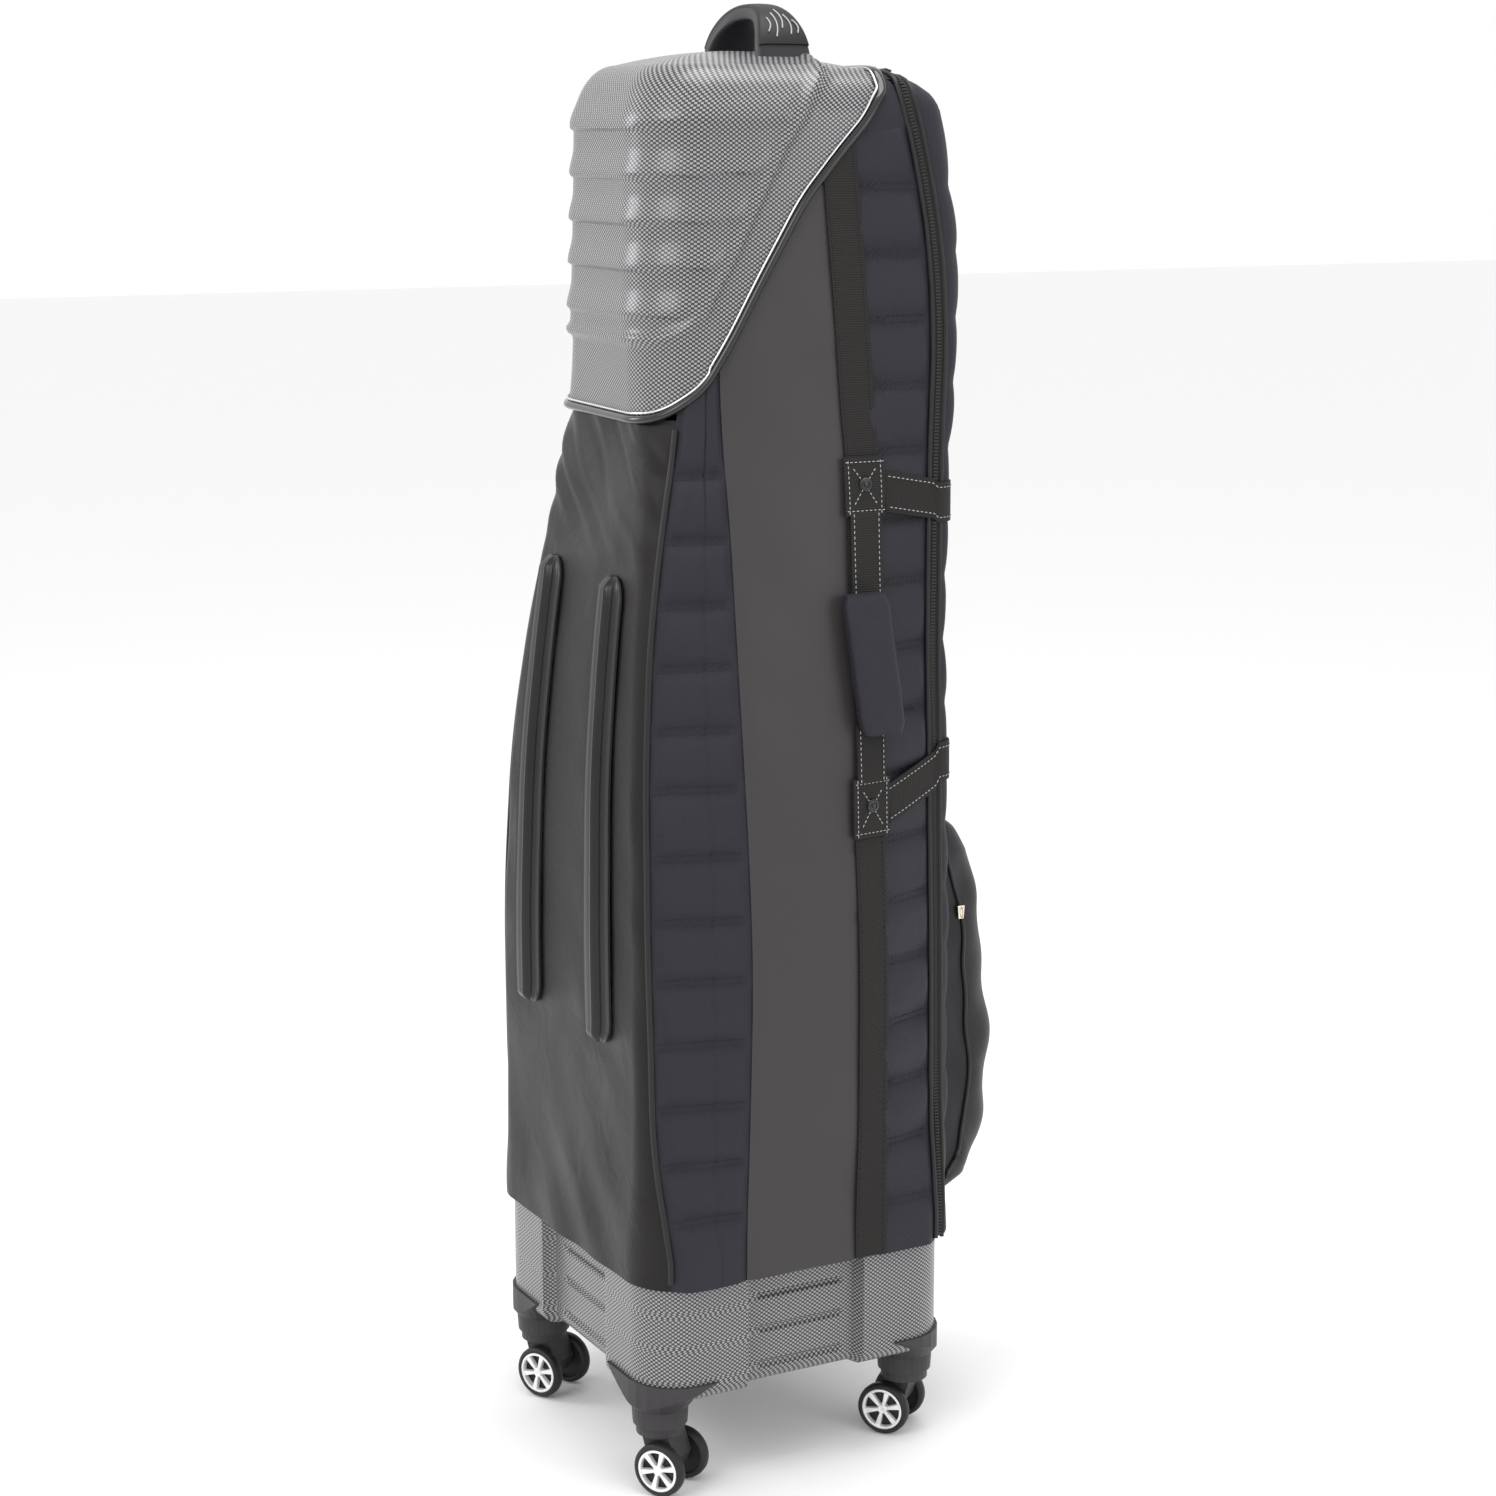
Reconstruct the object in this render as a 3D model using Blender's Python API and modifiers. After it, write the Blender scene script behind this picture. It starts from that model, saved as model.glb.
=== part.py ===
"""Wheeled golf travel case: a hard base and hood with a padded fabric body between them.

Metres, +Z up, the floor at z = 0. The back, with its two skid rails, faces -Y. The zipped front
lid faces +Y. The side with the carry handle faces +X. The body is drawn straight and is then
given the slight turn about the vertical that the soft case takes when it stands.
"""
import math

import bmesh
import bpy
import numpy as np
from mathutils import Matrix, Vector

# ---- clearances
GAP = 0.0003                  # between pieces that touch
SEAM = 0.0004                 # between two sewn panels
LAY = 0.0008                  # under a strap that lies on a panel
PLATE_LAY = 0.0010            # under a wide plate that lies on the back panel
SLIVER = 0.00002              # closer points than this are merged after a cut

# ---- floor, wheels and casters
WHEEL_RADIUS = 0.025
WHEEL_WIDTH = 0.012
AXLE_RADIUS = 0.003
AXLE_PLAY = 0.0005
WEB_THICKNESS = 0.030         # the fork's web, between the two wheels
WHEEL_SIDE_GAP = 0.0008
TRAIL = 0.012
CASTER_FROM_SIDE = 0.041      # from the base's side face to the swivel
CASTER_FROM_END = 0.027       # from the base's back or front face to the swivel
KINGPIN_RADIUS = 0.004
KINGPIN_PLAY = 0.0005
FORK_TOP_GAP = 0.0025         # from the top of a wheel to the fork's disc
FORK_DISC = 0.009
FORK_DISC_RADIUS = 0.022
HOUSING_WALL = 0.003
HOUSING_STEM_RADIUS = 0.0250
HOUSING_STEM_HEIGHT = 0.016
HOUSING_WING_RADIUS = 0.057
HOUSING_WRAP = 0.018          # how far the housing climbs the base shell's corner
CASTER_TURNS = {"rear_right": 33.0, "rear_left": 27.0, "front_right": 218.0, "front_left": 214.0}

# ---- base shell
BASE_HALF_WIDTH = 0.166
BASE_HALF_DEPTH = 0.157
BASE_CORNER = 0.045
BASE_BOTTOM = 0.0887
BASE_FILLET = 0.015
BASE_WALL = 0.003
BASE_UNDER_HEM = 0.030        # how far the base shell's rim runs up inside the fabric
PAD_THICKNESS = 0.014

# ---- fabric body
HEM = 0.200                   # lower edge of the fabric
FABRIC = 0.004                # padded fabric wall
HEM_EASE = 0.0055             # how far the hem stands outside the base shell
HEM_HALF_WIDTH = BASE_HALF_WIDTH + HEM_EASE
HEM_HALF_DEPTH = BASE_HALF_DEPTH + HEM_EASE
SHOULDER = 1.212              # where the sides start to round over to the top
ROUND_HEIGHT = 0.050
ROUND_SIDE = 0.029
ROUND_BACK = 0.029
ROUND_FRONT = 0.075
CROWN = 0.012
TURN_START = 0.42
TURN_END = 1.00
TURN_DEGREES = -6.0
# Stations up the body: height, how much narrower than the hem each side is at the corners, how far
# the side swells past that, how far the back and the front stand inside the hem's, back corner
# radius, front corner radius.
STATIONS = (
    (0.235, 0.0000, 0.000, 0.0000, 0.0000, 0.050, 0.045),
    (0.320, 0.0165, 0.025, 0.0035, 0.0025, 0.022, 0.020),
    (0.500, 0.0195, 0.032, 0.0025, 0.0025, 0.020, 0.020),
    (0.650, 0.0215, 0.029, 0.0095, 0.0025, 0.020, 0.020),
    (0.780, 0.0295, 0.020, 0.0245, -0.0005, 0.022, 0.020),
    (0.900, 0.0405, 0.013, 0.0435, -0.0085, 0.035, 0.022),
    (0.960, 0.0475, 0.010, 0.0495, -0.0175, 0.056, 0.024),
    (1.100, 0.0535, 0.007, 0.0530, -0.0270, 0.058, 0.025),
    (1.212, 0.0565, 0.005, 0.0555, -0.0085, 0.056, 0.025),
)
ROWS = (0.200, 0.235, 0.275, 0.320, 0.410, 0.510, 0.610, 0.700, 0.780, 0.850, 0.910, 0.960,
        1.030, 1.100, 1.160, 1.212)
ROUND_STEPS = 4
CAP_RINGS = (0.72, 0.38)
BACK_STEPS = 6
CORNER_STEPS = 4
SIDE_STEPS = 8
FRONT_STEPS = 6

# ---- seams: (height, y) or (y, height) points of lines drawn on the side of the body
TARP_REAR = ((0.20, -0.066), (0.65, -0.060), (0.87, -0.050), (1.10, -0.050))
WEBBING_LINE = ((0.20, 0.062), (0.60, 0.058), (0.92, 0.077), (1.05, 0.071), (1.25, 0.057))
# The zip's rear edge: height, how far behind the hem's front it runs.
ZIP_SETBACK = ((0.20, 0.0270), (0.60, 0.0295), (0.75, 0.0265), (0.90, 0.0165), (1.02, 0.0085),
               (1.10, 0.0115), (1.16, 0.0205), (1.212, 0.0325), (1.245, 0.0415), (1.32, 0.0435))
# The hood's lower edge: how far behind the hem's front, height.
HOOD_SETBACK = ((0.4625, 0.962), (0.2875, 0.962), (0.2585, 0.968), (0.2285, 0.991),
                (0.2035, 1.030), (0.1745, 1.083), (0.1345, 1.151), (0.1005, 1.191),
                (0.0715, 1.222), (0.0575, 1.247), (0.0545, 1.275), (0.0545, 1.340))
ZIP_LINE = tuple((height, HEM_HALF_DEPTH - back) for height, back in ZIP_SETBACK)
HOOD_EDGE = tuple((HEM_HALF_DEPTH - back, height) for back, height in HOOD_SETBACK)
BACK_SEAM_SHARE = 0.14        # where the back corner seam stands, as a share of the corner radius

# ---- hood
HOOD_PROUD = 0.002
HOOD_WALL = 0.003
TRIM_HALF_WIDTH = 0.0047
TRIM_PROUD = 0.0045
TRIM_DEPTH = 0.0035

# ---- zip and lid
ZIP_WIDTH = 0.012
LID_HINGE_OUT = 0.0055
LID_HINGE_DROP = 0.002

# ---- webbing and straps
WEBBING_WIDTH = 0.033
WEBBING_THICKNESS = 0.0018
WEBBING_TOP_GAP = 0.016
STRAP_WIDTH = 0.036
STRAP_THICKNESS = 0.0016
STRAP_LAP = 0.030             # how far a strap runs on to the lid's front
TAB_WIDTH = 0.040
TAB_THICKNESS = 0.0024
UPPER_TAB = (0.882, 0.930)
LOWER_TAB = (0.598, 0.650)
UPPER_STRAP = (0.900, 0.886)  # heights of the strap's middle at the tab and at the lid
LOWER_STRAP = (0.624, 0.652)
SNAP_RADIUS = 0.006
SNAP_HEIGHT = 0.003
GRIP_RANGE = (0.692, 0.812)
GRIP_WIDTH = 0.044
GRIP_THICKNESS = 0.017
GRIP_STANDOFF = 0.004
GRIP_LINE = ((0.69, 0.070), (0.812, 0.062))
CARRY_WIDTH = 0.031

# ---- skid rails on the back
RAIL_MIDDLE = -0.006
RAIL_X = 0.074
RAIL_HALF_FLANGE = 0.026
RAIL_HALF_RIDGE = 0.013
RAIL_FLANGE = 0.004
RAIL_HEIGHT = 0.012
RAIL_BOTTOM = 0.410
RAIL_TOP = 0.828
RAIL_END = 0.020

# ---- top handle
HANDLE_X = -0.006
HANDLE_Y = 0.038
HANDLE_HALF_LENGTH = 0.0690
HANDLE_HALF_WIDTH = 0.026
HANDLE_NARROWING = 0.52       # how much narrower the band is at its top
HANDLE_THICKNESS = 0.013
HANDLE_TOP = 1.3185
HANDLE_FOOT = 1.250
ARCH_ROUNDNESS = 0.80
GRIP_SKIN = 0.0016

# ---- pocket
POCKET_FROM_SIDE = 0.0455     # how much narrower than the hem the pocket is on each side
POCKET_HALF_WIDTH = HEM_HALF_WIDTH - POCKET_FROM_SIDE
POCKET_CORNER = 0.040
POCKET_DEPTH = ((0.226, 0.016), (0.236, 0.046), (0.262, 0.066), (0.300, 0.074), (0.360, 0.077),
                (0.440, 0.071), (0.510, 0.066), (0.555, 0.050), (0.582, 0.026), (0.590, 0.010))

# ---- zip sliders
SLIDER_LENGTH = 0.015
SLIDER_WIDTH = 0.009
SLIDER_HEIGHT = 0.006
RIGHT_SLIDER_X = 0.050
LEFT_SLIDER_X = 0.032
PULL_LENGTH = 0.022
PULL_WIDTH = 0.007
PULL_THICKNESS = 0.0018
PULL_PLAY = 0.0005            # between a pull's root and its slider
SLIDER_RISE = 0.0012          # how far a slider stands off the zip
POCKET_SLIDER_HEIGHT = 0.500

# ---- inside
STIFFENER_THICKNESS = 0.002
PLATE_COLUMNS = 6
STIFFENER_HALF_WIDTH = 0.086
STIFFENER_RANGE = (0.275, 0.880)
INNER_STRAP_HALF_LENGTH = 0.100
INNER_STRAP_WIDTH = 0.038
INNER_STRAP_HEIGHTS = {"inner_strap_lower": 0.460, "inner_strap_upper": 0.740}

# ---- where the finished case stands, so that the origin is under the middle of its box
PLACE = Vector((-0.008, -0.032, 0.0))

MATERIALS = {
    "hard_shell": ((0.42, 0.42, 0.43), 0.30, 0.0),
    "black_trim": ((0.012, 0.012, 0.013), 0.22, 0.0),
    "ballistic_fabric": ((0.020, 0.019, 0.024), 0.80, 0.0),
    "back_fabric": ((0.022, 0.018, 0.019), 0.55, 0.0),
    "tarpaulin": ((0.055, 0.052, 0.052), 0.62, 0.0),
    "webbing": ((0.012, 0.011, 0.010), 0.85, 0.0),
    "rail_plastic": ((0.015, 0.014, 0.014), 0.32, 0.0),
    "handle_plastic": ((0.035, 0.032, 0.038), 0.45, 0.0),
    "grip_rubber": ((0.010, 0.010, 0.011), 0.55, 0.0),
    "caster_plastic": ((0.045, 0.040, 0.043), 0.50, 0.0),
    "wheel": ((0.060, 0.060, 0.060), 0.55, 0.0),
    "steel": ((0.55, 0.55, 0.56), 0.30, 1.0),
    "brass_zip": ((0.60, 0.52, 0.38), 0.32, 1.0),
    "zip_coil": ((0.012, 0.012, 0.012), 0.50, 0.0),
    "board": ((0.10, 0.10, 0.10), 0.60, 0.0),
}


# ---- scene, materials and objects

def clear_scene():
    for obj in list(bpy.data.objects):
        bpy.data.objects.remove(obj, do_unlink=True)


def make_collection(name):
    collection = bpy.data.collections.new(name)
    bpy.context.scene.collection.children.link(collection)
    return collection


def make_material(name):
    colour, roughness, metallic = MATERIALS[name]
    material = bpy.data.materials.get(name) or bpy.data.materials.new(name)
    material.use_nodes = True
    shader = material.node_tree.nodes["Principled BSDF"]
    shader.inputs["Base Color"].default_value = (*colour, 1.0)
    shader.inputs["Roughness"].default_value = roughness
    shader.inputs["Metallic"].default_value = metallic
    material.diffuse_color = (*colour, 1.0)
    return material


def add_object(name, mesh, collection, material=None, sharp=40.0):
    obj = bpy.data.objects.new(name, mesh)
    collection.objects.link(obj)
    if material:
        mesh.materials.clear()
        mesh.materials.append(make_material(material))
        mesh.shade_smooth()
        mesh.set_sharp_from_angle(angle=math.radians(sharp))
    return obj


def mesh_from(verts, faces, name="mesh", flat=True):
    """A closed mesh with its faces outwards; one whose quads aren't flat is cut to triangles."""
    mesh = bpy.data.meshes.new(name)
    mesh.from_pydata([tuple(v) for v in verts], [], faces)
    bm = bmesh.new()
    bm.from_mesh(mesh)
    bmesh.ops.recalc_face_normals(bm, faces=bm.faces)
    if not flat:
        bmesh.ops.triangulate(bm, faces=bm.faces)
    bm.to_mesh(mesh)
    bm.free()
    return mesh


def boolean(target, cutter, operation):
    """Apply one exact Boolean to a target object and remove the cutter."""
    modifier = target.modifiers.new("cut", "BOOLEAN")
    modifier.operation = operation
    modifier.solver = "EXACT"
    modifier.object = cutter
    graph = bpy.context.evaluated_depsgraph_get()
    mesh = bpy.data.meshes.new_from_object(target.evaluated_get(graph))
    target.modifiers.clear()
    target.data = mesh
    bpy.data.objects.remove(cutter, do_unlink=True)
    return target


def turn_at(height):
    """The body's turn about the vertical at a height, in radians."""
    share = min(max((height - TURN_START) / (TURN_END - TURN_START), 0.0), 1.0)
    return math.radians(TURN_DEGREES) * share * share * (3.0 - 2.0 * share)


def settle(point):
    """Carry a point of the straight body to where it is on the standing case."""
    return Matrix.Rotation(turn_at(point.z), 3, "Z") @ point + PLACE


def settle_mesh(obj, origin=(0.0, 0.0, 0.0)):
    """Turn an object's mesh with the body, and leave its origin at a point of the case."""
    matrix = obj.matrix_world.copy()
    origin = Vector(origin)
    for vertex in obj.data.vertices:
        vertex.co = settle(matrix @ vertex.co) - origin
    obj.matrix_world = Matrix.Translation(origin)
    obj.data.update()


# ---- the body's outline

def station(height):
    """Smoothed sizes of the body at a height: half width, swell, back, front, corner radii."""
    table = np.array(STATIONS)
    window = np.linspace(-0.03, 0.03, 7) if height > STATIONS[0][0] + 0.03 else np.zeros(1)
    narrower, swell, back_in, front_in, back_corner, front_corner = [
        float(np.mean(np.interp(height + window, table[:, 0], table[:, k])))
        for k in range(1, table.shape[1])]
    return [HEM_HALF_WIDTH - narrower, swell, back_in - HEM_HALF_DEPTH,
            HEM_HALF_DEPTH - front_in, back_corner, front_corner]


ROW_STATIONS = np.array([station(row) for row in ROWS])


def section(height):
    """The body's sizes at any height, straight between the rows, as its facets are."""
    return [float(np.interp(height, ROWS, ROW_STATIONS[:, k])) for k in range(6)]


def line_at(line, value):
    """Read a seam line smoothly at a height."""
    table = np.array(line)
    window = np.linspace(-0.02, 0.02, 5)
    return float(np.mean(np.interp(value + window, table[:, 0], table[:, 1])))


def side_x(y, height):
    """How far out the right side stands at a depth and a height."""
    half, swell, back, front, back_corner, front_corner = section(height)
    low, high = back + back_corner, front - front_corner
    if low <= y <= high:
        t = (2.0 * y - low - high) / (high - low)
        return half + swell * (1.0 - t * t)
    centre, radius = (low, back_corner) if y < low else (high, front_corner)
    reach = min(abs(y - centre), radius)
    return half - radius + math.sqrt(radius * radius - reach * reach)


def outline(sizes):
    """Points round a level section, anticlockwise from the middle of the back."""
    half, swell, back, front, back_corner, front_corner = sizes
    right = []
    for k in range(BACK_STEPS // 2):
        right.append((k / (BACK_STEPS / 2) * (half - back_corner), back))
    for k in range(CORNER_STEPS):
        a = -math.pi / 2 + k / CORNER_STEPS * math.pi / 2
        right.append((half - back_corner + back_corner * math.cos(a),
                      back + back_corner + back_corner * math.sin(a)))
    low, high = back + back_corner, front - front_corner
    for k in range(SIDE_STEPS):
        t = -1.0 + 2.0 * k / SIDE_STEPS
        right.append((half + swell * (1.0 - t * t), low + (high - low) * k / SIDE_STEPS))
    for k in range(CORNER_STEPS):
        a = k / CORNER_STEPS * math.pi / 2
        right.append((half - front_corner + front_corner * math.cos(a),
                      front - front_corner + front_corner * math.sin(a)))
    for k in range(FRONT_STEPS // 2):
        right.append(((1.0 - k / (FRONT_STEPS / 2)) * (half - front_corner), front))
    right.append((0.0, front))
    left = [(-x, y) for x, y in reversed(right[1:-1])]
    return right + left


def rings(grow):
    """Rings of the body's outer form, grown outwards, from the hem to the crown."""
    result = []
    for index, height in enumerate(ROWS):
        half, swell, back, front, back_corner, front_corner = ROW_STATIONS[index]
        sizes = (half + grow, swell, back - grow, front + grow, back_corner + grow,
                 front_corner + grow)
        result.append([Vector((x, y, height)) for x, y in outline(sizes)])
    half, swell, back, front, back_corner, front_corner = ROW_STATIONS[-1]
    for k in range(1, ROUND_STEPS + 1):
        a = k / ROUND_STEPS * math.pi / 2
        inset = 1.0 - math.cos(a)
        sizes = (half + grow * math.cos(a) - ROUND_SIDE * inset, swell * math.cos(a),
                 back - grow * math.cos(a) + ROUND_BACK * inset,
                 front + grow * math.cos(a) - ROUND_FRONT * inset,
                 back_corner + grow * math.cos(a) - 0.5 * ROUND_BACK * inset,
                 front_corner + grow * math.cos(a))
        height = SHOULDER + (ROUND_HEIGHT + grow) * math.sin(a)
        result.append([Vector((x, y, height)) for x, y in outline(sizes)])
    top = result[-1]
    middle = sum(top, Vector()) / len(top)
    for share in CAP_RINGS:
        rise = CROWN * (1.0 - share * share)
        result.append([middle + (p - middle) * share + Vector((0, 0, rise)) for p in top])
    return result, middle + Vector((0, 0, CROWN))


def body_shell(name, outer, inner, collection):
    """A shell that follows the body, open at the hem, between two growths of its form."""
    verts = []
    faces = []
    for side, grow in enumerate((outer, inner)):
        ring_list, crown = rings(grow)
        start = len(verts)
        count = len(ring_list[0])
        for ring in ring_list:
            verts.extend(ring)
        verts.append(crown)
        for row in range(len(ring_list) - 1):
            for k in range(count):
                a = start + row * count + k
                b = start + row * count + (k + 1) % count
                faces.append((a, b, b + count, a + count))
        last = start + (len(ring_list) - 1) * count
        for k in range(count):
            faces.append((last + k, last + (k + 1) % count, start + len(ring_list) * count))
        if side:
            faces.extend((k, (k + 1) % count, start + (k + 1) % count, start + k)
                         for k in range(count))
    return add_object(name, mesh_from(verts, faces, name, flat=False), collection)


def body_solid(name, grow, collection):
    """A closed solid of the body's form, used to cut what stands on it."""
    ring_list, crown = rings(grow)
    count = len(ring_list[0])
    verts = [p for ring in ring_list for p in ring] + [crown]
    faces = [tuple(range(count))]
    for row in range(len(ring_list) - 1):
        for k in range(count):
            a, b = row * count + k, row * count + (k + 1) % count
            faces.append((a, b, b + count, a + count))
    last = (len(ring_list) - 1) * count
    faces.extend((last + k, last + (k + 1) % count, len(verts) - 1) for k in range(count))
    return add_object(name, mesh_from(verts, faces, name, flat=False), collection)


# ---- seam regions, cut out as prisms across the case

def smooth_line(points, steps=3):
    """A Catmull-Rom curve through points of a flat line."""
    pts = [Vector((*p, 0.0)) for p in points]
    pts = [2 * pts[0] - pts[1]] + pts + [2 * pts[-1] - pts[-2]]
    result = []
    for a, b, c, d in zip(pts, pts[1:], pts[2:], pts[3:]):
        for k in range(steps):
            t = k / steps
            p = 0.5 * (2 * b + (c - a) * t + (2 * a - 5 * b + 4 * c - d) * t * t
                       + (3 * b - a - 3 * c + d) * t ** 3)
            result.append((p.x, p.y))
    result.append(tuple(points[-1]))
    return result


def offset_line(points, distance):
    """A flat line moved to its left by a distance."""
    result = []
    for k, (y, z) in enumerate(points):
        before, after = points[max(k - 1, 0)], points[min(k + 1, len(points) - 1)]
        run = Vector((after[0] - before[0], after[1] - before[1])).normalized()
        result.append((y - run.y * distance, z + run.x * distance))
    return result


def hood_line(distance):
    """The hood's lower edge line in (y, z), moved up and back by a distance."""
    return offset_line(smooth_line(HOOD_EDGE), distance)


def seam_line(line, move, low=0.1037, high=1.4, step=0.05):
    """A seam drawn by height, as (y, z) points, moved forward."""
    count = int((high - low) / step)
    return [(line_at(line, low + k * step) + move, low + k * step) for k in range(count + 1)]


def prism(name, profile, near, far, collection):
    """A cutter: a (y, z) profile carried across X from near to far, which may vary with z."""
    reach = near if callable(near) else (lambda z: near)
    verts = [Vector((reach(z), y, z)) for y, z in profile]
    verts += [Vector((far, y, z)) for y, z in profile]
    count = len(profile)
    faces = [tuple(range(count)), tuple(range(2 * count - 1, count - 1, -1))]
    faces += [(k, (k + 1) % count, (k + 1) % count + count, k + count) for k in range(count)]
    cutter = add_object(name, mesh_from(verts, faces, name, flat=False), collection)
    cutter.hide_render = True
    cutter.display_type = "WIRE"
    return cutter


def back_seam(height):
    """Half the width of the back panel, between its two corner seams."""
    half, _, _, _, back_corner, _ = section(height)
    return half - BACK_SEAM_SHARE * back_corner


FAR = 0.40
DEEP = -0.40
LOW = 0.10
HIGH = 1.40


def under_hood(points):
    """The part of the hood line's fabric side as a closed profile."""
    return points + [(FAR, HIGH), (FAR, LOW), (DEEP, LOW)]


def panel(name, cuts, material, parts, cutters, outer=0.0, inner=-FABRIC):
    """One sewn panel: the body's shell kept inside each of the cutting prisms."""
    obj = body_shell(name, outer, inner, parts)
    for index, (profile, near, far) in enumerate(cuts):
        cutter = prism(f"{name}_cut_{index}", profile, near, far, cutters)
        boolean(obj, cutter, "INTERSECT")
    finish(obj, material)
    return obj


def finish(obj, material, sharp=40.0):
    obj.data.materials.clear()
    obj.data.materials.append(make_material(material))
    clean(obj)
    obj.data.shade_smooth()
    obj.data.set_sharp_from_angle(angle=math.radians(sharp))


def clean(obj):
    """Merge the slivers that a cut leaves, and cut what is left to triangles."""
    bm = bmesh.new()
    bm.from_mesh(obj.data)
    bmesh.ops.remove_doubles(bm, verts=bm.verts, dist=SLIVER)
    bmesh.ops.dissolve_degenerate(bm, edges=bm.edges, dist=SLIVER)
    bmesh.ops.triangulate(bm, faces=bm.faces)
    bm.to_mesh(obj.data)
    bm.free()


def make_panels(parts, cutters):
    """The back panel, the three panels of each side, the zip track and the hood with its trim."""
    fabric_edge = under_hood(hood_line(-TRIM_HALF_WIDTH - SEAM))
    back_low = [(DEEP, LOW), (0.0, LOW), (0.0, HIGH), (DEEP, HIGH)]
    objects = []
    back = panel("back_panel", [(fabric_edge, -FAR, FAR)], "back_fabric", parts, cutters)
    levels = [LOW + 0.003 + 0.05 * k for k in range(27)]
    across = [(back_seam(z) - SEAM / 2, z) for z in levels]
    across += [(-x, z) for x, z in reversed(across)]
    box = flat_prism("back_panel_width", across, DEEP, 0.0, cutters)
    boolean(back, box, "INTERSECT")
    finish(back, "back_fabric")
    objects.append(back)
    tarp_rear = seam_line(TARP_REAR, 0.0)
    webbing = seam_line(WEBBING_LINE, 0.0)
    zip_rear = seam_line(ZIP_LINE, 0.0)
    bands = {
        "rear_quilt": ("ballistic_fabric", [(DEEP, z) for z in levels],
                       [(y - SEAM / 2, z) for y, z in tarp_rear]),
        "tarp_panel": ("tarpaulin", [(y + SEAM / 2, z) for y, z in tarp_rear],
                       [(y - SEAM / 2, z) for y, z in webbing]),
        "front_quilt": ("ballistic_fabric", [(y + SEAM / 2, z) for y, z in webbing],
                        [(y - SEAM / 2, z) for y, z in zip_rear]),
    }
    for side, sign in (("right", 1), ("left", -1)):
        for label, (material, rear, front) in bands.items():
            profile = rear + list(reversed(front))
            if label == "rear_quilt":
                near = lambda z, s=sign: s * (back_seam(z) + SEAM / 2)
            else:
                near = sign * SEAM / 2
            cuts = [(fabric_edge, -FAR, FAR), (profile, near, sign * FAR)]
            objects.append(panel(f"{label}_{side}", cuts, material, parts, cutters))
    track = [(y + SEAM / 2, z) for y, z in zip_rear]
    track += [(y + ZIP_WIDTH - SEAM / 2, z) for y, z in reversed(zip_rear)]
    objects.append(panel("zip_track", [(track, -FAR, FAR)], "zip_coil", parts, cutters))
    over = hood_line(TRIM_HALF_WIDTH + SEAM) + [(DEEP, HIGH)]
    objects.append(panel("hood_shell", [(over, -FAR, FAR)], "hard_shell", parts, cutters,
                         HOOD_PROUD, HOOD_PROUD - HOOD_WALL))
    band = hood_line(-TRIM_HALF_WIDTH) + list(reversed(hood_line(TRIM_HALF_WIDTH)))
    objects.append(panel("hood_trim", [(band, -FAR, FAR)], "black_trim", parts, cutters,
                         TRIM_PROUD, -TRIM_DEPTH))
    for obj in objects:
        settle_mesh(obj)


def flat_prism(name, profile, near, far, collection):
    """A cutter: an (x, z) profile carried along Y."""
    verts = [Vector((x, near, z)) for x, z in profile] + [Vector((x, far, z)) for x, z in profile]
    count = len(profile)
    faces = [tuple(range(count)), tuple(range(2 * count - 1, count - 1, -1))]
    faces += [(k, (k + 1) % count, (k + 1) % count + count, k + count) for k in range(count)]
    cutter = add_object(name, mesh_from(verts, faces, name, flat=False), collection)
    cutter.hide_render = True
    cutter.display_type = "WIRE"
    return cutter


# ---- base, liner and what stiffens the back

def rounded_rectangle(half_x, half_y, radius, height, steps=6):
    points = []
    for index, (sx, sy) in enumerate(((1, -1), (1, 1), (-1, 1), (-1, -1))):
        for k in range(steps + 1):
            a = math.radians(-90 + 90 * index + 90 * k / steps)
            points.append(Vector((sx * (half_x - radius) + radius * math.cos(a),
                                  sy * (half_y - radius) + radius * math.sin(a), height)))
    return points


def loft(name, ring_list, collection, material=None, sharp=40.0):
    """A closed solid through rings of equal counts, with flat ends."""
    count = len(ring_list[0])
    verts = [p for ring in ring_list for p in ring]
    faces = [tuple(range(count)), tuple(range(len(verts) - count, len(verts)))]
    for row in range(len(ring_list) - 1):
        for k in range(count):
            a, b = row * count + k, row * count + (k + 1) % count
            faces.append((a, b, b + count, a + count))
    return add_object(name, mesh_from(verts, faces, name), collection, material, sharp)


def base_rings(grow, bottom, top):
    """Rings of the base shell's form, grown outwards, with its rounded lower edge."""
    result = []
    for k in range(4):
        a = k / 3 * math.pi / 2
        inset = BASE_FILLET * (1.0 - math.sin(a))
        height = bottom + BASE_FILLET * (1.0 - math.cos(a))
        result.append(rounded_rectangle(BASE_HALF_WIDTH + grow - inset,
                                        BASE_HALF_DEPTH + grow - inset,
                                        BASE_CORNER + grow - inset * 0.6, height))
    result.append(rounded_rectangle(BASE_HALF_WIDTH + grow, BASE_HALF_DEPTH + grow,
                                    BASE_CORNER + grow, top))
    return result


def make_base(parts, cutters):
    rim = HEM + BASE_UNDER_HEM
    shell = loft("base_shell", base_rings(0.0, BASE_BOTTOM, rim), parts)
    hollow = loft("base_hollow", base_rings(-BASE_WALL, BASE_BOTTOM + BASE_WALL, rim + 0.02),
                  cutters)
    boolean(shell, hollow, "DIFFERENCE")
    finish(shell, "hard_shell")
    settle_mesh(shell)
    low = BASE_BOTTOM + BASE_WALL + GAP
    inset = BASE_WALL + BASE_FILLET + 0.002
    pad_rings = [rounded_rectangle(BASE_HALF_WIDTH - inset, BASE_HALF_DEPTH - inset,
                                   BASE_CORNER - 0.010, low + h) for h in (0.0, PAD_THICKNESS)]
    pad = loft("base_pad", pad_rings, parts, "board")
    settle_mesh(pad)


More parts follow.
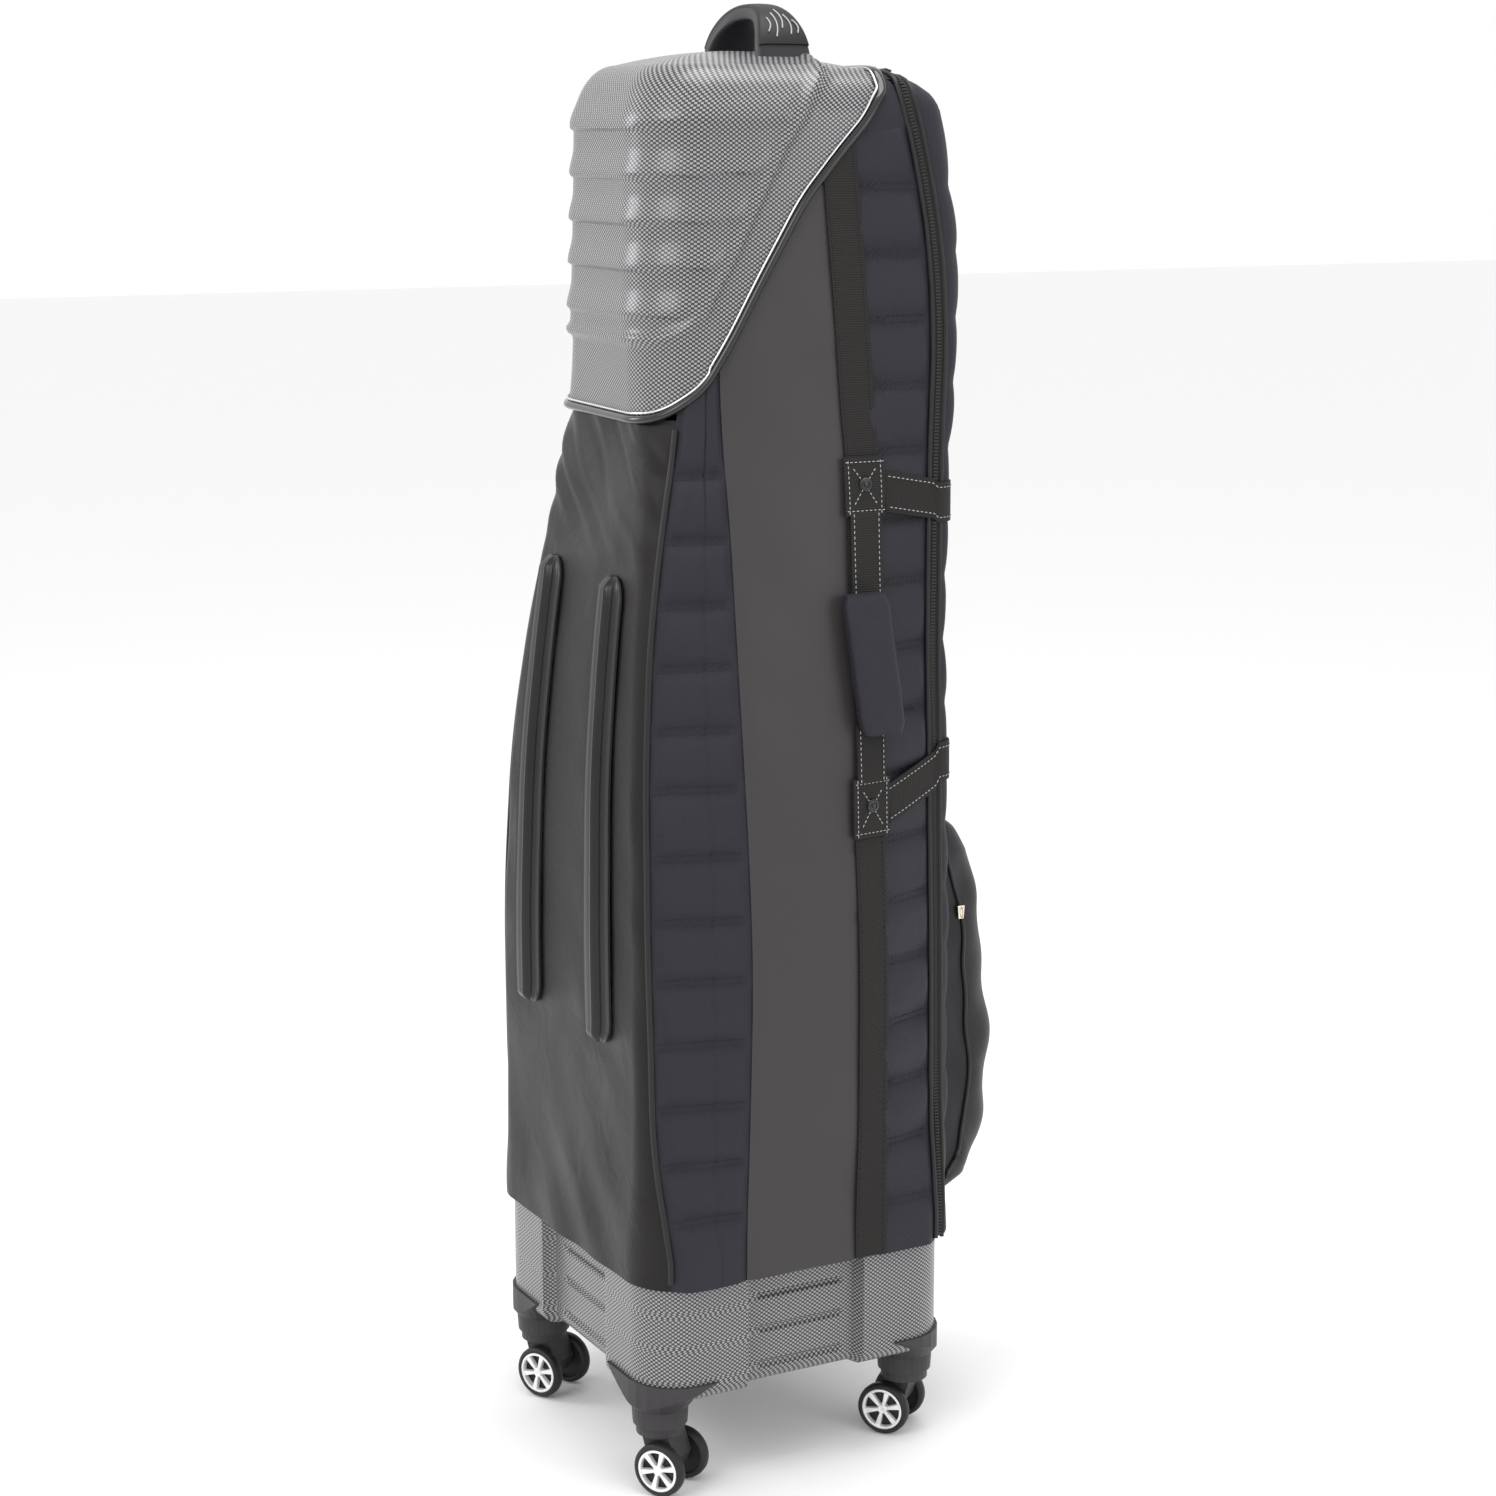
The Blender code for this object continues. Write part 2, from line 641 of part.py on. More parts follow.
def back_plate(name, half_length, low, high, lift, thickness, material, parts):
    """A thin plate that follows the inside of the back panel."""
    heights = [low] + [row for row in ROWS if low < row < high] + [high]
    ring_list = []
    across = [half_length * (2 * k / PLATE_COLUMNS - 1) for k in range(PLATE_COLUMNS + 1)]
    for height in heights:
        y = section(height)[2] + FABRIC + lift
        near = [Vector((x, y, height)) for x in across]
        far = [Vector((x, y + thickness, height)) for x in reversed(across)]
        ring_list.append(near + far)
    plate = loft(name, ring_list, parts, material)
    settle_mesh(plate)


def make_inside(parts):
    back_plate("back_stiffener", STIFFENER_HALF_WIDTH, *STIFFENER_RANGE, PLATE_LAY,
               STIFFENER_THICKNESS, "board", parts)
    for name, middle in INNER_STRAP_HEIGHTS.items():
        back_plate(name, INNER_STRAP_HALF_LENGTH, middle - INNER_STRAP_WIDTH / 2,
                   middle + INNER_STRAP_WIDTH / 2, 2 * PLATE_LAY + STIFFENER_THICKNESS,
                   WEBBING_THICKNESS, "webbing", parts)


def make_rails(parts):
    """The two moulded skid rails that the case slides on when it is pulled over an edge."""
    for side, sign in (("right", 1), ("left", -1)):
        inner = [row for row in ROWS if RAIL_BOTTOM + RAIL_END < row < RAIL_TOP - RAIL_END]
        heights = [RAIL_BOTTOM, RAIL_BOTTOM + 0.3 * RAIL_END, RAIL_BOTTOM + RAIL_END]
        heights += inner + [RAIL_TOP - RAIL_END, RAIL_TOP - 0.3 * RAIL_END, RAIL_TOP]
        ring_list = []
        for height in heights:
            reach = min(height - RAIL_BOTTOM, RAIL_TOP - height, RAIL_END) / RAIL_END
            share = math.sqrt(max(0.0, 1.0 - (1.0 - reach) ** 2))
            wide = RAIL_HALF_FLANGE * (0.45 + 0.55 * share)
            ridge = RAIL_HALF_RIDGE * (0.45 + 0.55 * share)
            rise = RAIL_FLANGE + (RAIL_HEIGHT - RAIL_FLANGE) * share * 0.98
            face = section(height)[2] - PLATE_LAY
            shape = ((wide, 0.0), (wide, 0.5 * RAIL_FLANGE), (wide - 0.003, RAIL_FLANGE),
                     (ridge + 0.002, RAIL_FLANGE), (ridge, rise - 0.3 * RAIL_FLANGE),
                     (0.6 * ridge, rise))
            shape = [(0.0, 0.0), *shape] + [(-x, h) for x, h in reversed(shape)]
            ring_list.append([Vector((RAIL_MIDDLE + sign * RAIL_X + x, face - h, height)) for x, h in shape])
        rail = loft(f"skid_rail_{side}", ring_list, parts, "rail_plastic")
        settle_mesh(rail)


# ---- webbing, straps, tabs and the carry handle on the side

def side_strip(name, sign, heights, centre, width, lift, thickness, material, parts, columns=3):
    """A band that lies on the side panel, lifted off it, from one height to another."""
    ring_list = []
    for height in heights:
        middle = centre(height) if callable(centre) else centre
        ys = [middle + width * (k / columns - 0.5) for k in range(columns + 1)]
        inner = [Vector((sign * (side_x(y, height) + lift), y, height)) for y in ys]
        outer = [Vector((sign * (side_x(y, height) + lift + thickness), y, height))
                 for y in reversed(ys)]
        ring_list.append(inner + outer)
    strip = loft(name, ring_list, parts, material)
    settle_mesh(strip)
    return strip


def strip_heights(low, high):
    return [low] + [row for row in ROWS if low + 0.004 < row < high - 0.004] + [high]


def webbing_y(height):
    return line_at(WEBBING_LINE, height)


def webbing_top():
    """Where the webbing runs out under the hood's trim."""
    line = hood_line(-TRIM_HALF_WIDTH)
    rear = [z for y, z in line if y <= webbing_y(1.17) - WEBBING_WIDTH / 2]
    return max(rear) - WEBBING_TOP_GAP


def make_webbing(parts):
    lift = LAY
    for side, sign in (("right", 1), ("left", -1)):
        side_strip(f"side_webbing_{side}", sign, strip_heights(HEM + 0.003, webbing_top()),
                   webbing_y, WEBBING_WIDTH, lift, WEBBING_THICKNESS, "webbing", parts)
    over = lift + WEBBING_THICKNESS + GAP
    for name, (low, high) in (("carry_tab_upper", UPPER_TAB), ("carry_tab_lower", LOWER_TAB)):
        side_strip(name, 1, strip_heights(low, high), webbing_y, TAB_WIDTH, over,
                   TAB_THICKNESS, "webbing", parts)
        middle = (low + high) / 2
        snap(name.replace("carry_tab", "snap_cap"), middle, over + TAB_THICKNESS + 2 * LAY, parts)
    side_strip("carry_webbing_upper", 1, strip_heights(GRIP_RANGE[1] + GAP, UPPER_TAB[0] - GAP),
               webbing_y, CARRY_WIDTH, over, 2 * WEBBING_THICKNESS, "webbing", parts)
    side_strip("carry_webbing_lower", 1, strip_heights(LOWER_TAB[1] + GAP, GRIP_RANGE[0] - GAP),
               webbing_y, CARRY_WIDTH, over, 2 * WEBBING_THICKNESS, "webbing", parts)
    make_carry_grip(over + GRIP_STANDOFF, parts)


def snap(name, height, lift, parts):
    """A press stud's cap, flat against its tab."""
    y = webbing_y(height)
    ahead, behind = side_x(y + 0.005, height), side_x(y - 0.005, height)
    lean = math.atan2(behind - ahead, 0.010)
    bpy.ops.mesh.primitive_cylinder_add(vertices=20, radius=SNAP_RADIUS, depth=SNAP_HEIGHT)
    cap = bpy.context.object
    mesh = cap.data
    bpy.data.objects.remove(cap, do_unlink=True)
    obj = add_object(name, mesh, parts, "steel")
    obj.matrix_world = (Matrix.Translation((side_x(y, height) + lift + SNAP_HEIGHT / 2, y, height))
                        @ Matrix.Rotation(lean, 4, "Z") @ Matrix.Rotation(math.pi / 2, 4, "Y"))
    settle_mesh(obj)


def make_carry_grip(lift, parts):
    """The padded sleeve of the carry handle, which lifts off the side when it is pulled."""
    low, high = GRIP_RANGE
    heights = [low, low + 0.006] + [low + 0.006 + (high - low - 0.012) * k / 6
                                    for k in range(1, 6)] + [high - 0.006, high]
    ring_list = []
    for index, height in enumerate(heights):
        edge = index in (0, len(heights) - 1)
        half = (GRIP_WIDTH / 2) * (0.88 if edge else 1.0)
        y = line_at(GRIP_LINE, height)
        face = side_x(y, height) + lift + (0.002 if edge else 0.0)
        thick = GRIP_THICKNESS - (0.004 if edge else 0.0)
        ring = []
        for k in range(14):
            a = 2 * math.pi * k / 14
            c, s = math.cos(a), math.sin(a)
            ring.append(Vector((face + thick / 2 * (1 + math.copysign(abs(c) ** 0.6, c)),
                                y + half * math.copysign(abs(s) ** 0.6, s), height)))
        ring_list.append(ring)
    grip = loft("carry_grip", ring_list, parts, "ballistic_fabric")
    settle_mesh(grip)


def make_wrap_straps(parts):
    """Straps sewn to the lid that reach round both sides and press on to the tabs."""
    for level, (rear_z, front_z) in (("upper", UPPER_STRAP), ("lower", LOWER_STRAP)):
        for side, sign in (("right", 1), ("left", -1)):
            start = webbing_y(rear_z) + TAB_WIDTH / 2 + 0.0015
            ring_list = []
            for edge in (-0.5, -0.17, 0.17, 0.5):
                path = strap_path(start, rear_z, front_z, edge * STRAP_WIDTH)
                ring_list.append([Vector((sign * p.x, p.y, p.z)) for p in path])
            strap = loft(f"wrap_strap_{level}_{side}", ring_list, parts, "webbing")
            settle_mesh(strap)


def strap_path(start, rear_z, front_z, rise):
    """A closed flat loop of the strap's thickness, round the front corner at one level."""
    inner, outer = [], []
    front_at = section(front_z)[3]
    corner = section(front_z)[5]
    run = front_at - start
    for k in range(7):
        y = start + (front_at - corner - start) * k / 6
        z = rear_z + (front_z - rear_z) * (y - start) / run + rise
        x = side_x(y, z)
        inner.append(Vector((x + LAY, y, z)))
        outer.append(Vector((x + LAY + STRAP_THICKNESS, y, z)))
    for k in range(1, 6):
        a = k / 5 * math.pi / 2
        z = front_z + rise
        half, _, _, front, _, radius = section(z)
        for rows, lift in ((inner, LAY), (outer, LAY + STRAP_THICKNESS)):
            rows.append(Vector((half - radius + (radius + lift) * math.cos(a),
                                front - radius + (radius + lift) * math.sin(a), z)))
    z = front_z + rise
    half, _, _, front, _, radius = section(z)
    inner.append(Vector((half - radius - STRAP_LAP, front + LAY, z)))
    outer.append(Vector((half - radius - STRAP_LAP, front + LAY + STRAP_THICKNESS, z)))
    return inner + list(reversed(outer))


# ---- lid, pocket and zip sliders

def make_lid(parts, cutters):
    edge = seam_line(ZIP_LINE, ZIP_WIDTH + SEAM / 2)
    lid = panel("front_lid", [(edge + [(FAR, HIGH), (FAR, LOW)], -FAR, FAR)],
                "ballistic_fabric", parts, cutters)
    settle_mesh(lid, lid_hinge())
    make_pocket(parts)


def lid_hinge():
    """The middle of the lid's fold line, just outside the hem."""
    front = section(HEM)[3]
    return Vector((0.0, front + LID_HINGE_OUT, HEM - LID_HINGE_DROP)) + PLACE


def pocket_depth(height):
    return float(np.interp(height, *zip(*POCKET_DEPTH)))


def make_pocket(parts):
    low, high = POCKET_DEPTH[0][0], POCKET_DEPTH[-1][0]
    heights = sorted({p[0] for p in POCKET_DEPTH} | {r for r in ROWS if low < r < high})
    ring_list = []
    for height in heights:
        depth = pocket_depth(height)
        radius = min(POCKET_CORNER, depth * 0.8)
        face = section(height)[3] + PLATE_LAY
        shrink = 0.010 * (1.0 - min(1.0, depth / 0.05))
        half = POCKET_HALF_WIDTH - shrink
        ring = [Vector((-half, face, height)), Vector((half, face, height))]
        for sx in (1, -1):
            for k in range(6):
                a = math.radians(90 * k / 5)
                c, s = (math.cos(a), math.sin(a)) if sx > 0 else (math.sin(a), math.cos(a))
                ring.append(Vector((sx * (half - radius + radius * c),
                                    face + depth - radius + radius * s, height)))
        ring_list.append(ring)
    pocket = loft("shoe_pocket", ring_list, parts, "ballistic_fabric")
    settle_mesh(pocket, lid_hinge())


def rounded_block(name, size, bevel, parts, material):
    """A small block with bevelled edges, centred on the origin."""
    bm = bmesh.new()
    bmesh.ops.create_cube(bm, size=1.0, matrix=Matrix.Diagonal((*size, 1.0)))
    bmesh.ops.bevel(bm, geom=bm.edges, offset=bevel, segments=1, affect="EDGES")
    mesh = bpy.data.meshes.new(name)
    bm.to_mesh(mesh)
    bm.free()
    return add_object(name, mesh, parts, material)


def zip_top():
    """Height and slope of the zip track's top, in the middle of its width."""
    y = line_at(ZIP_LINE, SHOULDER + ROUND_HEIGHT) + ZIP_WIDTH / 2
    front = ROW_STATIONS[-1][3]
    cosine = 1.0 - (front - y) / ROUND_FRONT
    a = math.acos(max(-1.0, min(1.0, cosine)))
    slope = -(ROUND_HEIGHT * math.cos(a)) / (ROUND_FRONT * math.sin(a))
    return y, SHOULDER + ROUND_HEIGHT * math.sin(a), math.atan(slope)


def settle_rigid(obj, straight):
    """Place a rigid piece by a matrix on the straight body, turned with the body there."""
    place = straight.to_translation()
    turn = Matrix.Rotation(turn_at(place.z), 4, "Z")
    obj.matrix_world = Matrix.Translation(PLACE) @ turn @ straight


def make_sliders(parts):
    y, height, slope = zip_top()
    lean = Matrix.Rotation(slope, 4, "X")
    for side, x, sign in (("right", RIGHT_SLIDER_X, 1), ("left", LEFT_SLIDER_X, -1)):
        slider = rounded_block(f"zip_slider_{side}", (SLIDER_LENGTH, SLIDER_WIDTH, SLIDER_HEIGHT),
                               0.0012, parts, "brass_zip")
        rise = Matrix.Translation((0.0, 0.0, SLIDER_HEIGHT / 2 + SLIDER_RISE))
        settle_rigid(slider, Matrix.Translation((x, y, height)) @ lean @ rise)
        pull = rounded_block(f"zip_pull_{side}", (PULL_LENGTH, PULL_WIDTH, PULL_THICKNESS),
                             0.0005, parts, "rail_plastic")
        root = PULL_LENGTH / 2 - PULL_THICKNESS / 2
        pull.data.transform(Matrix.Translation((sign * root, 0.0, 0.0)))
        hinge_x = x + sign * (SLIDER_LENGTH / 2 + PULL_THICKNESS / 2 + PULL_PLAY)
        settle_rigid(pull, Matrix.Translation((hinge_x, y, height)) @ lean @ rise)
    slider = rounded_block("pocket_slider", (0.006, 0.010, 0.014), 0.0012, parts, "brass_zip")
    depth = section(POCKET_SLIDER_HEIGHT)[3] + 0.024
    settle_rigid(slider, Matrix.Translation((POCKET_HALF_WIDTH + 0.0045, depth,
                                             POCKET_SLIDER_HEIGHT)))


# ---- top handle

def arch(half_length, top, foot, steps=14):
    """Points of a handle's arch in (x, z), from the right foot over to the left."""
    points = []
    for k in range(steps + 1):
        a = math.pi * k / steps
        c, s = math.cos(a), math.sin(a)
        points.append((HANDLE_X + half_length * math.copysign(abs(c) ** ARCH_ROUNDNESS, c),
                       foot + (top - foot) * abs(s) ** ARCH_ROUNDNESS))
    return points


def arch_band(name, outer, inner, half_width, lip, parts, material, first=0, last=None):
    """A band bent over the arch, wider outside than inside, as a closed solid."""
    last = len(outer) if last is None else last
    ring_list = []
    for (ox, oz), (ix, iz) in list(zip(outer, inner))[first:last]:
        rise = (oz - HANDLE_FOOT) / (HANDLE_TOP - HANDLE_FOOT)
        half = half_width * (1.0 - HANDLE_NARROWING * rise ** 3)
        ring_list.append([Vector((ox, HANDLE_Y - half, oz)), Vector((ox, HANDLE_Y + half, oz)),
                          Vector((ix, HANDLE_Y + half - lip, iz)),
                          Vector((ix, HANDLE_Y - half + lip, iz))])
    return loft(name, ring_list, parts, material)


def make_handle(parts, cutters):
    outer = arch(HANDLE_HALF_LENGTH, HANDLE_TOP, HANDLE_FOOT)
    inner = arch(HANDLE_HALF_LENGTH - HANDLE_THICKNESS, HANDLE_TOP - HANDLE_THICKNESS, HANDLE_FOOT)
    handle = arch_band("top_handle", outer, inner, HANDLE_HALF_WIDTH, 0.004, parts, None)
    boolean(handle, body_solid("handle_seat", HOOD_PROUD + GAP, cutters), "DIFFERENCE")
    finish(handle, "handle_plastic")
    settle_mesh(handle)
    near = arch(HANDLE_HALF_LENGTH + LAY, HANDLE_TOP + LAY, HANDLE_FOOT)
    far = arch(HANDLE_HALF_LENGTH + LAY + GRIP_SKIN, HANDLE_TOP + LAY + GRIP_SKIN, HANDLE_FOOT)
    grip = arch_band("handle_grip", far, near, HANDLE_HALF_WIDTH - 0.001, 0.0, parts,
                     "grip_rubber", 2, len(near) - 2)
    settle_mesh(grip)


# ---- casters

def cylinder(name, radius, low, high, collection, segments=24, radius_top=None):
    bm = bmesh.new()
    top = radius if radius_top is None else radius_top
    bmesh.ops.create_cone(bm, cap_ends=True, segments=segments, radius1=radius, radius2=top,
                          depth=high - low, matrix=Matrix.Translation((0, 0, (low + high) / 2)))
    mesh = bpy.data.meshes.new(name)
    bm.to_mesh(mesh)
    bm.free()
    return add_object(name, mesh, collection)


def circle(x, y, radius, height, count=28):
    return [Vector((x + radius * math.cos(2 * math.pi * k / count),
                    y + radius * math.sin(2 * math.pi * k / count), height))
            for k in range(count)]


def housing_bottom():
    return 2 * WHEEL_RADIUS + FORK_TOP_GAP + FORK_DISC + GAP


def make_housing(corner, x, y, parts, cutters):
    """A corner housing: a boot that wraps the base shell's corner, over a round stem."""
    bottom = housing_bottom()
    top = BASE_BOTTOM + HOUSING_WRAP
    rings_out = base_rings(GAP + HOUSING_WALL, bottom, top)
    rings_out = [[Vector((p.x, p.y, bottom)) for p in rings_out[-1]], rings_out[-1]]
    housing = loft(f"caster_housing_{corner}", rings_out, parts)
    stem_top = bottom + HOUSING_STEM_HEIGHT
    flare = [(HOUSING_STEM_RADIUS, bottom - GAP), (HOUSING_STEM_RADIUS + 0.001, stem_top),
             (0.62 * HOUSING_WING_RADIUS, 0.6 * stem_top + 0.4 * top),
             (HOUSING_WING_RADIUS, top + GAP)]
    boolean(housing, loft("housing_flare", [circle(x, y, *level) for level in flare], cutters),
            "INTERSECT")
    boolean(housing, loft("base_seat", base_rings(GAP, BASE_BOTTOM - GAP, top + 0.02), cutters),
            "DIFFERENCE")
    bore = cylinder("kingpin_bore", KINGPIN_RADIUS + KINGPIN_PLAY, bottom - 0.01,
                    bottom + 0.016, cutters, 16)
    bore.matrix_world = Matrix.Translation((x, y, 0.0))
    boolean(housing, bore, "DIFFERENCE")
    finish(housing, "caster_plastic")
    settle_mesh(housing)


def make_fork(parts, cutters):
    """The swivelling fork: a disc with its kingpin, and a web down to the axle."""
    disc_low = 2 * WHEEL_RADIUS + FORK_TOP_GAP
    fork = cylinder("fork_form", FORK_DISC_RADIUS, disc_low, disc_low + FORK_DISC, parts, 24)
    pin = cylinder("kingpin_form", KINGPIN_RADIUS, disc_low + 0.002, disc_low + FORK_DISC + 0.015,
                   cutters, 16)
    boolean(fork, pin, "UNION")
    web = [(-0.012, disc_low + 0.004), (TRAIL - 0.016, WHEEL_RADIUS + 0.004),
           (TRAIL - 0.006, WHEEL_RADIUS - 0.007), (TRAIL + 0.006, WHEEL_RADIUS - 0.007),
           (TRAIL + 0.012, WHEEL_RADIUS + 0.008), (0.016, disc_low + 0.004)]
    half = WEB_THICKNESS / 2
    ring_list = [[Vector((px, s * half, pz)) for px, pz in web] for s in (-1, 1)]
    boolean(fork, loft("web_form", ring_list, cutters), "UNION")
    bore = cylinder("axle_bore", AXLE_RADIUS + GAP, -0.03, 0.03, cutters, 16)
    bore.matrix_world = (Matrix.Translation((TRAIL, 0.0, WHEEL_RADIUS))
                         @ Matrix.Rotation(math.pi / 2, 4, "X"))
    boolean(fork, bore, "DIFFERENCE")
    finish(fork, "caster_plastic")
    return fork


def make_wheel_form(collection):
    """A turned wheel about Y: hub, dished web and a rounded tyre, from a Screw profile."""
    bore = AXLE_RADIUS + AXLE_PLAY
    half = WHEEL_WIDTH / 2
    profile = ((bore, half - 0.001), (0.006, half - 0.001), (0.0065, half - 0.004),
               (0.018, half - 0.004), (0.0195, half - 0.0005), (0.0225, half),
               (WHEEL_RADIUS - 0.0006, half - 0.002), (WHEEL_RADIUS, 0.0),
               (WHEEL_RADIUS - 0.0006, -half + 0.002), (0.0225, -half),
               (0.0195, -half + 0.0005), (0.018, -half + 0.004), (0.0065, -half + 0.004),
               (0.006, -half + 0.001), (bore, -half + 0.001))
    mesh = bpy.data.meshes.new("wheel_profile")
    count = len(profile)
    mesh.from_pydata([(r, 0.0, z) for r, z in profile], [(k, (k + 1) % count)
                                                         for k in range(count)], [])
    obj = add_object("wheel_form", mesh, collection)
    screw = obj.modifiers.new("turn", "SCREW")
    screw.steps = 20
    screw.render_steps = 20
    screw.use_merge_vertices = True
    screw.merge_threshold = 0.00001
    graph = bpy.context.evaluated_depsgraph_get()
    turned = bpy.data.meshes.new_from_object(obj.evaluated_get(graph))
    bpy.data.objects.remove(obj, do_unlink=True)
    turned.transform(Matrix.Rotation(math.pi / 2, 4, "X"))
    bm = bmesh.new()
    bm.from_mesh(turned)
    bmesh.ops.recalc_face_normals(bm, faces=bm.faces)
    bm.to_mesh(turned)
    bm.free()
    return turned


def make_casters(parts, cutters):
    wheel_mesh = make_wheel_form(cutters)
    fork_form = make_fork(parts, cutters)
    fork_mesh = fork_form.data
    bpy.data.objects.remove(fork_form, do_unlink=True)
    spread = WEB_THICKNESS / 2 + WHEEL_SIDE_GAP + WHEEL_WIDTH / 2
    axle_half = WEB_THICKNESS / 2 + WHEEL_SIDE_GAP + WHEEL_WIDTH - 0.001
    for corner, turn in CASTER_TURNS.items():
        sx = 1 if corner.endswith("right") else -1
        sy = 1 if corner.startswith("front") else -1
        x = sx * (BASE_HALF_WIDTH - CASTER_FROM_SIDE)
        y = sy * (BASE_HALF_DEPTH - CASTER_FROM_END)
        make_housing(corner, x, y, parts, cutters)
        swivel = Matrix.Translation(Vector((x, y, 0.0)) + PLACE)
        swivel = swivel @ Matrix.Rotation(math.radians(turn), 4, "Z")
        fork = add_object(f"caster_fork_{corner}", fork_mesh.copy(), parts, "caster_plastic")
        fork.matrix_world = swivel
        hub = swivel @ Matrix.Translation((TRAIL, 0.0, WHEEL_RADIUS))
        axle = cylinder(f"axle_{corner}", AXLE_RADIUS, -axle_half, axle_half, parts, 16)
        finish(axle, "steel")
        axle.matrix_world = hub @ Matrix.Rotation(math.pi / 2, 4, "X")
        for label, side in (("outer", -1), ("inner", 1)):
            wheel = add_object(f"wheel_{corner}_{label}", wheel_mesh.copy(), parts, "wheel")
            wheel.matrix_world = hub @ Matrix.Translation((0.0, side * spread, 0.0))


def main():
    clear_scene()
    parts = make_collection("golf_travel_case")
    cutters = make_collection("cutters")
    make_base(parts, cutters)
    make_panels(parts, cutters)
    make_inside(parts)
    make_rails(parts)
    make_webbing(parts)
    make_lid(parts, cutters)
    make_wrap_straps(parts)
    make_sliders(parts)
    make_handle(parts, cutters)
    make_casters(parts, cutters)


main()
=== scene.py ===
"""Looks for a wheeled golf travel case: printed shells, quilted cloth, webbing, zips and casters.

The case stands on the floor with its back to -Y, its zipped lid to +Y and its carry handle on +X.
Cloth and shells are laid over one form, drawn straight and then turned a little about the
vertical, as the soft case stands.
"""
import logging
import math
from contextlib import contextmanager
from dataclasses import dataclass
from enum import Enum
from typing import Callable, Iterator, Sequence

import bmesh
import bpy
import numpy as np
from mathutils import Matrix, Vector


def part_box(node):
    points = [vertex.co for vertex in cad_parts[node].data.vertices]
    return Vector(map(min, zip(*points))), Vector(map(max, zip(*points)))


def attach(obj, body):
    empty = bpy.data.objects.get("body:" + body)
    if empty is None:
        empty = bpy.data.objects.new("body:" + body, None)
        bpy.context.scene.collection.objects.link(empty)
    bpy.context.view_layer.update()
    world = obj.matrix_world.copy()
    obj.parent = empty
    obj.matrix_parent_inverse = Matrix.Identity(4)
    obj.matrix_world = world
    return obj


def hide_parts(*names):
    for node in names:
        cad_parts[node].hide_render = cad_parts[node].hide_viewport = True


LOG = logging.getLogger("golf_travel_case")
Array = np.ndarray
MIRROR = np.array([-1.0, 1.0, 1.0])
UPWARD = np.array([0.0, 0.0, 1.0])
FABRIC_ANGLE = 60.0
FRONT_SEAMS = 0.247 + 0.0572 * np.arange(18)
MERGE = 0.00005


class Side(Enum):
    """The two sides of the case; the right one has the carry handle."""

    RIGHT = 1
    LEFT = -1

    @property
    def word(self) -> str:
        """The side's name as the nodes use it."""
        return self.name.lower()


# ---------------------------------------------------------------- small tools

def deselect() -> None:
    """Deselect everything."""
    for item in bpy.context.selected_objects:
        item.select_set(False)


def activate(piece: bpy.types.Object) -> None:
    """Make a piece the only selected and active one.

    Args:
        piece: The piece that the next operators act on.
    """
    deselect()
    piece.select_set(True)
    bpy.context.view_layer.objects.active = piece


def apply_modifier(piece: bpy.types.Object, kind: str, **settings: object) -> None:
    """Add a modifier to a piece and apply it.

    Args:
        piece: The piece to change.
        kind: The modifier's type.
        **settings: The modifier's own settings.
    """
    activate(piece)
    modifier = piece.modifiers.new(kind.lower(), kind)
    for name, value in settings.items():
        setattr(modifier, name, value)
    bpy.ops.object.modifier_apply(modifier=modifier.name)


def settle_in_mesh(piece: bpy.types.Object, matrix: Matrix | None = None) -> None:
    """Put a piece's place into its mesh, and leave its object at the origin.

    Args:
        piece: The piece to settle.
        matrix: A further placement, applied last.
    """
    place = (matrix or Matrix.Identity(4)) @ piece.matrix_basis
    piece.data.transform(place)
    if place.determinant() < 0:
        piece.data.flip_normals()
    piece.matrix_basis = Matrix.Identity(4)


def smooth(piece: bpy.types.Object, angle: float = 40.0) -> None:
    """Shade a piece smooth up to an angle between faces, in degrees."""
    activate(piece)
    bpy.ops.object.shade_smooth_by_angle(angle=math.radians(angle))


def dress(piece: bpy.types.Object, material: bpy.types.Material, body: str,
          stands_for: Sequence[str] = ()) -> bpy.types.Object:
    """Give a piece its material, body and the nodes it stands for.

    Args:
        piece: The finished piece.
        material: Its material.
        body: The body that it moves with.
        stands_for: CAD nodes that it replaces.

    Returns:
        The same piece.
    """
    piece.data.materials.clear()
    piece.data.materials.append(material)
    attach(piece, body)
    if stands_for:
        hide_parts(*stands_for)
    LOG.info("%s on %s: %d faces", piece.name, body, len(piece.data.polygons))
    return piece


@contextmanager
def edited(piece: bpy.types.Object) -> Iterator[bmesh.types.BMesh]:
    """Open a piece's mesh for editing, and write it back."""
    mesh = bmesh.new()
    mesh.from_mesh(piece.data)
    yield mesh
    mesh.to_mesh(piece.data)
    mesh.free()


def outward(piece: bpy.types.Object) -> None:
    """Turn a closed piece's faces outwards."""
    with edited(piece) as mesh:
        bmesh.ops.recalc_face_normals(mesh, faces=mesh.faces)


def thicken(piece: bpy.types.Object, thickness: float, angle: float = FABRIC_ANGLE) -> None:
    """Give a sheet its thickness inwards, and shade it smooth up to an angle in degrees."""
    apply_modifier(piece, "SOLIDIFY", thickness=thickness, offset=-1.0)
    smooth(piece, angle)


def strap_of(piece: bpy.types.Object, thickness: float, rounding: float) -> None:
    """Give a strip of webbing its thickness and its rounded edges."""
    apply_modifier(piece, "SOLIDIFY", thickness=thickness, offset=-1.0)
    apply_modifier(piece, "BEVEL", width=rounding, segments=2, limit_method="ANGLE")
    smooth(piece)


def soften_edges(piece: bpy.types.Object, width: float, segments: int = 3) -> None:
    """Bevel a moulded piece's sharp edges."""
    apply_modifier(piece, "BEVEL", width=width, segments=segments, limit_method="ANGLE")


